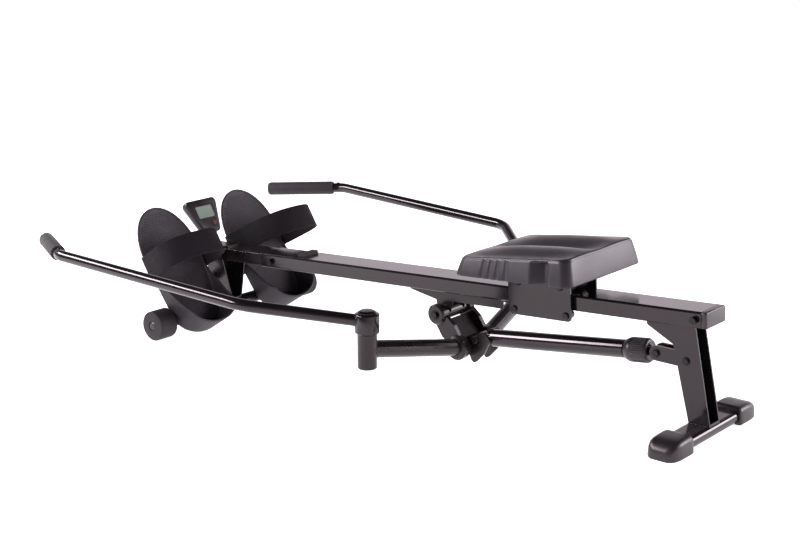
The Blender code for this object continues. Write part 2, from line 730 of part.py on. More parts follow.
def make_console(plastic, glass, red, paint):
    """Display housing, its screen, its button and the sheet arm behind it."""
    frame = console_frame()
    half = CONSOLE_LENGTH / 2
    outline = rounded([(-CONSOLE_FOOT_HALF, -half), (CONSOLE_FOOT_HALF, -half), (CONSOLE_TOP_HALF, half),
                       (-CONSOLE_TOP_HALF, half)], [0.012, 0.012, 0.010, 0.010], 4)
    housing = prism("console_housing", outline, -CONSOLE_THICK, 0, frame, plastic)
    pocket = 0.0016
    screen_cut = prism("pocket", [(x, y + SCREEN_UP) for x, y in box_outline(SCREEN_WIDTH, SCREEN_LENGTH, 0.003)],
                       -pocket, 0.01, frame)
    button_place = button_frame()
    well = turned("well", rod_profile(BUTTON_RADIUS + GAP, -0.008, 0.02), button_place, 20)
    cut(housing, screen_cut, well)
    shrink = 2 * GAP
    screen = prism("console_screen", [(x, y + SCREEN_UP) for x, y in box_outline(
        SCREEN_WIDTH - shrink, SCREEN_LENGTH - shrink, 0.003)], -pocket + GAP, -0.0002, frame, glass)
    dome = [(0, -0.0055), (BUTTON_RADIUS, -0.0055), (BUTTON_RADIUS, 0.0014), (BUTTON_RADIUS - 0.0012, 0.0022),
            (0, 0.0026)]
    button = turned("console_button", dome, button_place, 20, red)
    arm_top = frame @ Vector((0, -CONSOLE_PAD_DOWN, -CONSOLE_THICK - GAP))
    arm_low = rail_frame(CONSOLE_ARM_X, SHEET / 2 - RAIL_WALL).translation
    reach = arm_top - arm_low
    arm_frame = toward(arm_low, reach, (1, 0, 0))
    wide = 2 * CONSOLE_ARM_HALF
    arm = prism("console_bracket", box_outline(wide, SHEET), -0.001, reach.length - 0.0025, arm_frame, paint)
    pad = prism("pad", [(x, y - CONSOLE_PAD_DOWN) for x, y in box_outline(wide, 0.034, 0.004)],
                -CONSOLE_THICK - GAP - SHEET, -CONSOLE_THICK - GAP, frame)
    tab = block("tab", (CONSOLE_ARM_X - 0.003, -CONSOLE_ARM_HALF, 0),
                (TONGUE_FRONT + 0.060, CONSOLE_ARM_HALF, SHEET), rail_frame(0, -RAIL_WALL))
    combine(arm, [pad, tab])
    return [housing, screen, button, arm]


def seat_top(share_x, share_y):
    """Seat's height above its underside; shares run from -1 to 1."""
    rise = SEAT_FRONT_HEIGHT + (SEAT_REAR_HEIGHT - SEAT_FRONT_HEIGHT) * (share_x + 1) / 2
    ease = max(0.0, 1 - abs(share_x) ** 4) * max(0.0, 1 - abs(share_y) ** 5)
    cheek = SEAT_CHEEK * math.sin(math.pi * min(abs(share_y) / 0.98, 1.0)) ** 1.2
    front = 1 - 0.45 * max(0.0, -share_x) ** 2
    return rise + cheek * ease * front - 0.004 * ease


def skirt_draw(along):
    """How far the skirt's side is drawn in at a place along the rail: one soft recess."""
    share = min(abs(along - SEAT_RECESS_X) / SEAT_RECESS_HALF, 1.0)
    return SEAT_RECESS_DEPTH * math.cos(math.pi / 2 * share) ** 2


def make_cushion(vinyl):
    """Moulded seat: two cheeks with a valley, and a skirt that draws in to the top."""
    build = bmesh.new()
    count = 22
    shares = [math.sin(math.pi / 2 * (2 * k / count - 1)) for k in range(count + 1)]
    grid = []
    for share_x in shares:
        row = []
        for share_y in shares:
            corner = 1 - 0.055 * (share_x * share_y) ** 4
            x = SEAT_X + SEAT_HALF_LENGTH * share_x * corner
            y = SEAT_TOP_HALF * share_y * corner
            row.append(build.verts.new((x, y, SEAT_UNDERSIDE + seat_top(share_x, share_y))))
        grid.append(row)
    for i in range(count):
        for j in range(count):
            build.faces.new((grid[i][j], grid[i + 1][j], grid[i + 1][j + 1], grid[i][j + 1]))
    rim = [grid[i][0] for i in range(count + 1)] + [grid[count][j] for j in range(1, count + 1)]
    rim += [grid[i][count] for i in range(count - 1, -1, -1)] + [grid[0][j] for j in range(count - 1, 0, -1)]
    levels = ((0.86, 0.13), (0.45, 0.56), (0.0, 1.0))
    rings = [rim]
    for level, spread in levels:
        ring = []
        for vertex in rim:
            height = (vertex.co.z - SEAT_UNDERSIDE) * level
            across = vertex.co.y * (1 + (SEAT_SKIRT_HALF / SEAT_TOP_HALF - 1) * spread)
            along = SEAT_X + (vertex.co.x - SEAT_X) * (1 + (SEAT_SKIRT_LENGTH / SEAT_HALF_LENGTH - 1) * spread)
            side = min(abs(across) / SEAT_TOP_HALF, 1.0) ** 8
            across -= math.copysign(skirt_draw(along) * side * math.sin(math.pi * min(level + 0.2, 1.0)), across)
            ring.append(build.verts.new((along, across, SEAT_UNDERSIDE + height)))
        rings.append(ring)
    for high, low in zip(rings, rings[1:]):
        for step in range(len(rim)):
            after = (step + 1) % len(rim)
            build.faces.new((high[step], low[step], low[after], high[after]))
    build.faces.new(rings[-1])
    return add_mesh("seat_cushion", finish_mesh(build, "seat_cushion", 60.0), rail_frame(), vinyl)


def make_seat(vinyl, paint, plastic, steel):
    """Cushion, its pan, the carriage with side plates, and the rollers and their axles."""
    cushion = make_cushion(vinyl)
    pan_top = SEAT_UNDERSIDE - GAP
    pan_low = pan_top - SEAT_PAN_THICK
    pan_frame = rail_frame(CARRIAGE_X - SEAT_PAN_BACK)
    pan = prism("seat_pan", box_outline(2 * SEAT_PAN_HALF_LENGTH, 2 * SEAT_PAN_HALF, 0.02, 4), pan_low, pan_top,
                pan_frame, paint)
    top = pan_low - GAP
    low = -RAIL_HEIGHT - CARRIAGE_DROP
    start = CARRIAGE_X - CARRIAGE_LENGTH / 2
    end = CARRIAGE_X + CARRIAGE_LENGTH / 2
    side_frame = rail_frame() @ Matrix.Rotation(math.pi / 2, 4, "X")
    shape = rounded([(start, low), (end, low), (end, top), (start, top)], [0.012, 0.008, 0, 0], 4)
    carriage = prism("seat_carriage", shape, -CARRIAGE_HALF, CARRIAGE_HALF, side_frame, paint)
    inside = block("inside", (start - 0.01, -CARRIAGE_HALF + SHEET, low - 0.01),
                   (end + 0.01, CARRIAGE_HALF - SHEET, top - SHEET), rail_frame())
    cut(carriage, inside)
    made = {"fixed": [cushion, pan, carriage]}
    for place, sign in (("front", -1), ("rear", 1)):
        frame = rail_frame(CARRIAGE_X + sign * ROLLER_SPREAD, ROLLER_RADIUS + GAP)
        full, waist, half = ROLLER_RADIUS, ROLLER_RADIUS * 0.72, ROLLER_HALF
        profile = [(ROLLER_BORE, -half), (full, -half), (full, -half * 0.4), (waist, -half * 0.36),
                   (waist, half * 0.36), (full, half * 0.4), (full, half), (ROLLER_BORE, half)]
        roller = turned(f"seat_roller_{place}", profile, frame @ Matrix.Rotation(math.pi / 2, 4, "X"), 20, plastic)
        drill(carriage, frame.translation, (0, 1, 0), ROLLER_AXLE + BOLT_FIT, 0.2, 12)
        span = 2 * CARRIAGE_HALF + 2 * GAP
        start_point = frame.translation - Vector((0, span / 2, 0))
        made["fixed"].append(bolt(f"seat_axle_{place}", start_point, (0, 1, 0), ROLLER_AXLE, span, 0.0065, steel))
        made[place] = (roller, frame)
        for side, hand in SIDES.items():
            label = f"{place}_{side}"
            keeper, pin, spot = make_keeper(label, sign, hand, plastic, steel)
            drill(carriage, spot.translation + Vector((0, hand * CARRIAGE_HALF, 0)), (0, 1, 0),
                  ROLLER_AXLE + BOLT_FIT, 0.02, 12)
            made["fixed"].append(pin)
            made[f"keeper_{label}"] = (keeper, spot)
    return made


def make_keeper(label, along, hand, plastic, steel):
    """Short roller under one edge of the rail, on a stepped stub bolt in the side plate."""
    spot = rail_frame(CARRIAGE_X + along * KEEPER_SPREAD, -RAIL_HEIGHT - KEEPER_RADIUS - GAP)
    profile = [(ROLLER_BORE, KEEPER_INNER), (KEEPER_RADIUS, KEEPER_INNER), (KEEPER_RADIUS, KEEPER_OUTER),
               (ROLLER_BORE, KEEPER_OUTER)]
    keeper = turned(f"keeper_roller_{label}", profile, toward(spot.translation, (0, hand, 0)), 16, plastic)
    inner = CARRIAGE_HALF - SHEET - GAP
    outer = CARRIAGE_HALF + GAP
    rows = [(0, KEEPER_INNER - 0.0025), (0.0065, KEEPER_INNER - 0.0025), (0.0065, KEEPER_INNER - GAP),
            (ROLLER_AXLE, KEEPER_INNER - GAP), (ROLLER_AXLE, KEEPER_OUTER + GAP), (0.0065, KEEPER_OUTER + GAP),
            (0.0065, inner), (ROLLER_AXLE, inner), (ROLLER_AXLE, outer), (0.0075, outer), (0.0075, outer + 0.0022),
            (0.0060, outer + 0.0036), (0, outer + 0.0036)]
    pin = turned(f"keeper_pin_{label}", rows, toward(spot.translation, (0, hand, 0)), 12, steel)
    return keeper, pin, spot


def make_front_stop(rubber):
    """Low rubber block on the rail that the front roller meets."""
    half = STOP_LENGTH / 2
    outline = rounded([(-half, 0), (half, 0), (half, STOP_HEIGHT), (-half, STOP_HEIGHT)], [0, 0, 0.003, 0.003], 3)
    frame = rail_frame(FRONT_STOP_X, GAP) @ Matrix.Rotation(math.pi / 2, 4, "X")
    return prism("front_seat_stop", outline, -0.024, 0.024, frame, rubber)


def stop_bolt(name, centre, steel):
    """Bolt across the rail whose tall round heads stop the carriage's side plates."""
    start = RAIL_WIDTH / 2 + GAP
    rows = [(0.004, -start), (STOP_HEAD, -start), (STOP_HEAD, -STOP_REACH + 0.001),
            (STOP_HEAD - 0.001, -STOP_REACH), (0, -STOP_REACH)]
    profile = list(reversed(rows)) + [(radius, -along) for radius, along in rows]
    return turned(name, profile, toward(centre, (0, 1, 0)), 16, steel)


def leg_frame():
    """Leg's frame: origin under the rail, Z up along the leg's front face."""
    under = rail_frame(LEG_TOP_X, -RAIL_HEIGHT - GAP).translation
    return Matrix.Translation(under) @ Matrix.Rotation(-LEG_LEAN, 4, "Y")


def make_leg(paint, plastic, steel):
    """Rear leg channel with its gussets, the rear cross tube, its caps and bolts."""
    frame = leg_frame()
    side_frame = frame @ Matrix.Rotation(math.pi / 2, 4, "X")
    half = LEG_DEPTH / 2
    reach = frame.translation.z / math.cos(LEG_LEAN)
    top = half + LEG_TOP_FLARE
    outline = [(-half, -reach), (half, -reach), (top, 0.03), (-half, 0.03)]
    leg = prism("rear_post", outline, -LEG_WIDTH / 2, LEG_WIDTH / 2, side_frame, paint)
    gusset = rounded([(-half + 0.002, -GUSSET_DROP), (-half + 0.002, 0.03), (-half - GUSSET_LENGTH, 0.03),
                      (-half - GUSSET_LENGTH, 0.004)], [0, 0, 0, 0.004], 3)
    combine(leg, [prism("gusset", gusset, -LEG_WIDTH / 2, LEG_WIDTH / 2, side_frame)])
    foot_top = FOOT_TUBE_LIFT + FOOT_TUBE_HEIGHT + GAP
    floor = floor_frame(FOOT_X)
    inner = LEG_WIDTH / 2 - SHEET
    hollow = block("hollow", (-half + SHEET, -inner, -reach), (top + 0.02, inner, 0.06), frame)
    cut(hollow, block("sole", (-0.3, -0.3, -0.2), (0.3, 0.3, foot_top + LEG_SOLE), floor))
    gusset_hollow = prism("gusset_hollow", [(-half - 0.001, -GUSSET_DROP - 0.004), (-half - 0.001, 0.05),
                                            (-half - GUSSET_LENGTH - 0.02, 0.05),
                                            (-half - GUSSET_LENGTH - 0.02, -GUSSET_DROP - 0.004)],
                          -inner, inner, side_frame)
    above = block("above", (-0.3, -0.1, -RAIL_HEIGHT - GAP), (0.3, 0.1, 0.1), rail_frame(LEG_TOP_X))
    below = block("below", (-0.3, -0.3, -0.2), (0.3, 0.3, foot_top), floor)
    cut(leg, hollow, gusset_hollow, above, below)
    across = foot_tube_frame()
    outer = box_outline(FOOT_TUBE_WIDTH, FOOT_TUBE_HEIGHT, FOOT_TUBE_CORNER, 4)
    bore = box_outline(FOOT_TUBE_WIDTH - 2 * FOOT_WALL, FOOT_TUBE_HEIGHT - 2 * FOOT_WALL,
                       FOOT_TUBE_CORNER - FOOT_WALL, 4)
    foot = prism("rear_stabilizer", outer, -FOOT_TUBE_HALF, FOOT_TUBE_HALF, across, paint)
    cut(foot, prism("bore", bore, -0.2, 0.2, across))
    centre = frame @ Vector((0, 0, -LEG_BOLT_DOWN))
    drill(leg, centre, (0, 1, 0), 0.004 + BOLT_FIT, 0.1)
    post_bolt = bolt("rear_post_bolt", centre - Vector((0, LEG_WIDTH / 2 + GAP, 0)), (0, 1, 0), 0.004,
                     LEG_WIDTH + 2 * GAP, 0.007, steel)
    caps = [foot_cap(side, sign, plastic) for side, sign in SIDES.items()]
    return [leg, foot, post_bolt, *caps]


def foot_tube_frame():
    """Frame of the rear cross tube: Z across the machine, Y up from the floor."""
    lift = Matrix.Translation((0, 0, FOOT_TUBE_LIFT + FOOT_TUBE_HEIGHT / 2))
    return floor_frame(FOOT_X) @ lift @ Matrix.Rotation(math.pi / 2, 4, "X")


def foot_cap(side, sign, plastic):
    """Moulded foot: a rounded block socketed over the end of the rear cross tube."""
    start = FOOT_CAP_HALF - FOOT_CAP_LENGTH
    width = FOOT_CAP_WIDTH
    rows = ((0.0, 0.94, 0.94), (0.10, 1.0, 1.0), (0.62, 1.0, 0.98), (0.84, 0.90, 0.84), (0.96, 0.72, 0.62),
            (1.0, 0.50, 0.40))
    build = bmesh.new()
    rings = []
    for along, wide, tall in rows:
        y = start + FOOT_CAP_LENGTH * along
        base, top, height = width * wide / 2, width * wide * 0.46, FOOT_CAP_HEIGHT * tall
        outline = rounded([(-base, 0), (base, 0), (top, height), (-top, height)], [0.004, 0.004, 0.012, 0.012], 4)
        rings.append([build.verts.new((x, sign * y, z)) for x, z in outline])
    for low, high in zip(rings, rings[1:]):
        for step in range(len(low)):
            after = (step + 1) % len(low)
            build.faces.new((low[step], low[after], high[after], high[step]))
    build.faces.new(rings[0])
    build.faces.new(rings[-1])
    cap = add_mesh(f"rear_foot_cap_{side}", finish_mesh(build, "foot"), floor_frame(FOOT_X), plastic)
    outer = box_outline(FOOT_TUBE_WIDTH + 2 * GAP, FOOT_TUBE_HEIGHT + 2 * GAP, FOOT_TUBE_CORNER, 4)
    low, high = sorted((-sign * (start - 0.01), -sign * (FOOT_TUBE_HALF + GAP)))
    return cut(cap, prism("socket", outer, low, high, foot_tube_frame()))


def make_saddle(paint, steel):
    """Channel under the rail that carries the arm pivot's cross tube."""
    low = -RAIL_HEIGHT - GAP
    side_frame = rail_frame() @ Matrix.Rotation(math.pi / 2, 4, "X")
    shape = [(SADDLE_FRONT, low), (SADDLE_FRONT + 0.004, low - 0.005), (SADDLE_FRONT + 0.075, low - SADDLE_DROP),
             (SADDLE_REAR, low - SADDLE_DROP), (SADDLE_REAR, low)]
    saddle = prism("arm_saddle", shape, -SADDLE_HALF, SADDLE_HALF, side_frame, paint)
    inside = block("inside", (SADDLE_FRONT - 0.02, -SADDLE_HALF + SHEET, low - SADDLE_DROP - 0.02),
                   (SADDLE_REAR + 0.02, SADDLE_HALF - SHEET, low - SHEET), rail_frame())
    cut(saddle, inside)
    pivot = toward((PIVOT_X, 0, PIVOT_Z), (0, 1, 0))
    barrel = turned("barrel", rod_profile(PIVOT_TUBE_RADIUS, -PIVOT_TUBE_HALF, PIVOT_TUBE_HALF), pivot, 24)
    webs = []
    for side in (-1, 1):
        y = side * (SADDLE_HALF - SHEET / 2)
        web = [(PIVOT_X - 0.030, 0.20), (PIVOT_X - 0.0155, PIVOT_Z), (PIVOT_X + 0.0155, PIVOT_Z),
               (PIVOT_X + 0.030, 0.20)]
        web_frame = at(0, y, 0) @ Matrix.Rotation(math.pi / 2, 4, "X")
        webs.append(prism("web", web, -SHEET / 2, SHEET / 2, web_frame))
    for web in webs:
        trim = block("trim", (-0.3, -0.1, low), (0.5, 0.1, 0.1), rail_frame())
        cut(web, trim)
    combine(saddle, [*webs, barrel])
    drill(saddle, (PIVOT_X, 0, PIVOT_Z), (0, 1, 0), PIVOT_BOLT_RADIUS + BOLT_FIT, 0.2, 20)
    reach = PIVOT_TUBE_HALF + GAP + BOSS_DEPTH + GAP
    start = (PIVOT_X, -reach, PIVOT_Z)
    return [saddle, bolt("pivot_bolt", start, (0, 1, 0), PIVOT_BOLT_RADIUS, 2 * reach, 0.0085, steel)]


def link_outline(steps=9):
    """Dog-bone side link in (x, z): a round boss at the pivot, a round lobe at the cross bar."""
    pivot = Vector((PIVOT_X, PIVOT_Z))
    cross = Vector((CROSS_X, CROSS_Z))
    along = (cross - pivot).normalized()
    across = Vector((-along.y, along.x))
    waist = (pivot + cross) / 2
    outline = []
    heading = math.atan2(along.y, along.x)
    for centre, radius, start in ((pivot, BOSS_RADIUS - 0.0012, heading + math.radians(52)),
                                  (cross, LOBE_RADIUS - 0.0012, heading + math.pi + math.radians(45))):
        sweep = 2 * math.pi - 2 * (start - heading if centre is pivot else start - heading - math.pi)
        for step in range(steps + 1):
            angle = start + sweep * step / steps
            outline.append((centre.x + radius * math.cos(angle), centre.y + radius * math.sin(angle)))
        side = -1 if centre is pivot else 1
        spot = waist + across * side * LINK_WAIST / 2
        outline.append((spot.x, spot.y))
    return outline


def make_crank(paint):
    """Arm crank: links, cross bar, the lug for the rod, swing tubes and elbow barrels."""
    cross_frame = toward((CROSS_X, 0, CROSS_Z), (0, 1, 0))
    crank = turned("arm_crank", rod_profile(CROSS_RADIUS, -CROSS_HALF, CROSS_HALF), cross_frame, 24, paint)
    inner = PIVOT_TUBE_HALF + GAP
    parts = []
    flat = Matrix.Rotation(math.pi / 2, 4, "X")
    for sign in (-1, 1):
        link_frame = at(0, sign * (inner + LINK_THICK / 2 + 0.001), 0) @ flat
        parts.append(prism("link", link_outline(), -LINK_THICK / 2, LINK_THICK / 2, link_frame))
        edge = 0.004
        boss = [(0, inner), (BOSS_RADIUS, inner), (BOSS_RADIUS, inner + BOSS_DEPTH - edge),
                (BOSS_RADIUS - edge, inner + BOSS_DEPTH), (0, inner + BOSS_DEPTH)]
        parts.append(turned("boss", boss, toward((PIVOT_X, 0, PIVOT_Z), (0, sign, 0)), 24))
        lobe = [(0, inner + 0.002), (LOBE_RADIUS, inner + 0.002), (LOBE_RADIUS, inner + 0.020),
                (LOBE_RADIUS - edge, inner + 0.024), (0, inner + 0.024)]
        parts.append(turned("lobe", lobe, toward((CROSS_X, 0, CROSS_Z), (0, sign, 0)), 24))
        start = Vector((CROSS_X, sign * (inner + 0.010), CROSS_Z))
        elbow = Vector((ELBOW_X, sign * ELBOW_Y, SWING_TUBE_Z))
        parts.append(tube("swing", [start, elbow], SWING_RADIUS, 18))
        barrel = rod_profile(ELBOW_RADIUS, ELBOW_FOOT_Z, ELBOW_SEAM_Z, 0.0015)
        parts.append(turned("barrel", barrel, at(ELBOW_X, sign * ELBOW_Y, 0), 24))
        lug_frame = at(0, sign * (LUG_GAP + LUG_THICK / 2), 0) @ flat
        parts.append(prism("lug", lug_outline(), -LUG_THICK / 2, LUG_THICK / 2, lug_frame))
        pin = toward((LUG_X, 0, LUG_Z), (0, sign, 0))
        head = rod_profile(0.008, LUG_GAP + LUG_THICK - 0.001, LUG_GAP + LUG_THICK + 0.005, 0.001)
        parts.append(turned("pin_head", head, pin, 12))
        seat = rod_profile(PIN_SEAT_RADIUS, ROD_EYE_HALF + PIN_SEAT_GAP, LUG_GAP + 0.001)
        parts.append(turned("pin_seat", seat, pin, 16))
    parts.append(crank_web(inner + LINK_THICK / 2))
    combine(crank, parts)
    drill(crank, (PIVOT_X, 0, PIVOT_Z), (0, 1, 0), PIVOT_BOLT_RADIUS + BOLT_FIT, 0.2, 20)
    for sign in (-1, 1):
        drill(crank, (ELBOW_X, sign * ELBOW_Y, ELBOW_SEAM_Z), (0, 0, 1), ELBOW_PIN_RADIUS + BOLT_FIT, 0.088, 20)
    return crank


def crank_web(reach):
    """Plate that ties the two links together, clear of the pivot's tube."""
    pivot = Vector((PIVOT_X, 0, PIVOT_Z))
    cross = Vector((CROSS_X, 0, CROSS_Z))
    frame = toward(pivot, cross - pivot, (0, 1, 0))
    return block("web", (-WEB_HALF, -reach, WEB_START), (WEB_HALF, reach, (cross - pivot).length), frame)


def lug_outline():
    """Lug plate in (x, z): a fan from the cross bar whose corners clear the floor as it swings."""
    pivot = Vector((PIVOT_X, PIVOT_Z))
    cross = Vector((CROSS_X, CROSS_Z))
    along = (Vector((LUG_X, LUG_Z)) - cross).normalized()
    across = Vector((-along.y, along.x)) * CROSS_RADIUS * 0.9
    corners = [pivot + LUG_REACH * Vector((math.cos(turn), math.sin(turn)))
               for turn in (math.radians(angle) for angle in LUG_ANGLES)]
    upper = Vector((LUG_X, LUG_Z)) + Vector((0.020, 0.021))
    points = [cross - across, corners[2], corners[1], corners[0], upper, cross + across]
    return rounded([tuple(point) for point in points], [0, LUG_CORNER, LUG_CORNER, LUG_CORNER, LUG_CORNER, 0], 3)


def make_handles(paint, foam, steel):
    """Outer arms on their elbow pins, with foam grips."""
    made = {}
    for side, sign in SIDES.items():
        points = [Vector((x, sign * y, z)) for x, y, z in HANDLE_ROUTE]
        route = smooth_route(points, HANDLE_BENDS, 5)
        arm = tube(f"outer_arm_{side}", route, HANDLE_RADIUS, 16, paint)
        seam = ELBOW_SEAM_Z + GAP
        collar = turned("collar", rod_profile(COLLAR_RADIUS, seam, ELBOW_TOP_Z, 0.002),
                        at(ELBOW_X, sign * ELBOW_Y, 0), 24)
        combine(arm, [collar])
        drill(arm, (ELBOW_X, sign * ELBOW_Y, seam), (0, 0, 1), ELBOW_PIN_RADIUS + BOLT_FIT, 0.12, 16)
        top = ELBOW_TOP_Z + GAP
        pin = cap_screw(f"elbow_pin_{side}", (ELBOW_X, sign * ELBOW_Y, top), (0, 0, -1), ELBOW_PIN_RADIUS,
                        top - ELBOW_SEAM_Z + 0.040, 0.019, steel, 0.28)
        end = points[-1]
        heading = (points[-2] - end).normalized()
        outside = end - heading * (GRIP_END + GAP)
        inside = end + heading * GRIP_LENGTH
        sleeve = inside - outside
        grip = turned(f"grip_{side}", grip_profile(sleeve.length), toward(outside, sleeve), 20, foam)
        made[side] = (arm, pin, grip)
    return made


def grip_profile(length):
    """Foam sleeve with a closed outer end, from its end to its mouth."""
    bore = HANDLE_RADIUS + GAP
    edge = 0.004
    return [(0, 0), (GRIP_RADIUS - edge, 0), (GRIP_RADIUS, edge), (GRIP_RADIUS, length - 0.002),
            (GRIP_RADIUS - 0.002, length), (bore, length), (bore, GRIP_END), (0, GRIP_END)]


def cylinder_frame():
    """Cylinder's frame: origin on the rear pin, Z along it to the crank."""
    return toward((CLEVIS_X, 0, CLEVIS_Z), (LUG_X - CLEVIS_X, 0, LUG_Z - CLEVIS_Z), (0, 1, 0))


def make_cylinder(paint, chrome, plastic, steel):
    """Cylinder body, rod with its eye, resistance dial, and the bracket on the leg."""
    frame = cylinder_frame()
    body_profile = [(0, BODY_REAR - 0.035), (0.009, BODY_REAR - 0.035), (0.009, BODY_REAR - 0.026),
                    (0.0165, BODY_REAR - 0.0255), (0.0165, DIAL_FRONT + 0.002), (BODY_RADIUS, DIAL_FRONT + 0.003),
                    (BODY_RADIUS, BODY_FRONT - 0.002), (BODY_RADIUS - 0.002, BODY_FRONT),
                    (ROD_RADIUS + ROD_FIT, BODY_FRONT), (ROD_RADIUS + ROD_FIT, BODY_FRONT - 0.020),
                    (BORE_RADIUS, BODY_FRONT - 0.022), (BORE_RADIUS, BODY_FRONT - BORE_DEPTH),
                    (0, BODY_FRONT - BORE_DEPTH)]
    body = turned("cylinder_body", body_profile, frame, 28, paint)
    eye_frame = toward((CLEVIS_X, 0, CLEVIS_Z), (0, 1, 0))
    eye = turned("eye", rod_profile(0.012, -CLEVIS_EYE_HALF, CLEVIS_EYE_HALF), eye_frame, 20)
    combine(body, [eye])
    drill(body, (CLEVIS_X, 0, CLEVIS_Z), (0, 1, 0), CLEVIS_PIN_RADIUS + BOLT_FIT, 0.1, 16)
    length = Vector((LUG_X - CLEVIS_X, 0, LUG_Z - CLEVIS_Z)).length
    piston, tail, tip = BORE_RADIUS - ROD_FIT, length - ROD_REACH, length - 0.004
    rod_rows = [(0, tail), (piston, tail), (piston, tail + 0.012), (ROD_RADIUS, tail + 0.013), (ROD_RADIUS, tip),
                (0, tip)]
    rod = turned("piston_rod", rod_rows, frame, 20, chrome)
    rod_eye = turned("rod_eye", rod_profile(ROD_EYE_RADIUS, -ROD_EYE_HALF, ROD_EYE_HALF),
                     toward((LUG_X, 0, LUG_Z), (0, 1, 0)), 20)
    combine(rod, [rod_eye])
    dial_rows = [(0.0165 + GAP, DIAL_REAR), (DIAL_RADIUS - 0.003, DIAL_REAR), (DIAL_RADIUS, DIAL_REAR + 0.004),
                 (DIAL_RADIUS, DIAL_FRONT - 0.010), (DIAL_RADIUS - 0.004, DIAL_FRONT), (0.0165 + GAP, DIAL_FRONT)]
    dial = turned("resistance_dial", dial_rows, frame, 32, plastic)
    return {"body": body, "rod": rod, "dial": dial, "frame": frame, "bracket": cylinder_bracket(paint),
            "pin": clevis_pin(steel)}


def cylinder_bracket(paint):
    """U bracket welded on the leg's front; its two ears hold the cylinder's pin."""
    inner = CLEVIS_EYE_HALF + GAP
    outer = inner + CLEVIS_WALL
    under = rail_frame(LEG_TOP_X, -RAIL_HEIGHT - GAP).translation
    drop = under.z - CLEVIS_Z
    face = under.x + math.tan(LEG_LEAN) * drop - LEG_DEPTH / 2 / math.cos(LEG_LEAN) - GAP
    flat = Matrix.Rotation(math.pi / 2, 4, "X")
    radius = CLEVIS_RADIUS
    slant = math.tan(LEG_LEAN) * radius
    outline = [(face - CLEVIS_X - slant, radius)]
    for step in range(11):
        angle = math.pi / 2 + math.pi * step / 10
        outline.append((radius * math.cos(angle), radius * math.sin(angle)))
    outline.append((face - CLEVIS_X + slant, -radius))
    bracket = prism("cylinder_bracket", outline, -outer, outer, at(CLEVIS_X, 0, CLEVIS_Z) @ flat, paint)
    throat = block("throat", (-0.05, -inner, -0.05), (face - CLEVIS_X - SHEET - slant, inner, 0.05),
                   at(CLEVIS_X, 0, CLEVIS_Z))
    cut(bracket, throat)
    return drill(bracket, (CLEVIS_X, 0, CLEVIS_Z), (0, 1, 0), CLEVIS_PIN_RADIUS + BOLT_FIT, 0.1, 16)


def clevis_pin(steel):
    """Bolt through the bracket's ears and the cylinder's rear eye."""
    reach = CLEVIS_EYE_HALF + GAP + CLEVIS_WALL + GAP
    start = (CLEVIS_X, -reach, CLEVIS_Z)
    return bolt("clevis_bolt", start, (0, 1, 0), CLEVIS_PIN_RADIUS, 2 * reach, 0.0075, steel)


def stand_on_floor():
    """Level the floor under the machine and bring the middle of its outline to the origin."""
    place_all(Matrix.Rotation(FLOOR_SLOPE, 4, "Y"))
    solids = [item for item in bpy.data.objects if item.type == "MESH"]
    corners = [item.matrix_world @ vertex.co for item in solids for vertex in item.data.vertices]
    low = [min(corner[axis] for corner in corners) for axis in range(3)]
    high = [max(corner[axis] for corner in corners) for axis in range(3)]
    shift = Vector((-(low[0] + high[0]) / 2, -(low[1] + high[1]) / 2, -low[2]))
    place_all(Matrix.Translation(shift))
    print("shift", tuple(round(value, 6) for value in shift))
    print("box", [round(value, 4) for value in low], [round(value, 4) for value in high])


def place_all(move):
    """Move the whole machine at once."""
    bpy.context.view_layer.update()
    for item in bpy.data.objects:
        if item.parent is None:
            item.matrix_world = move @ item.matrix_world
    bpy.context.view_layer.update()


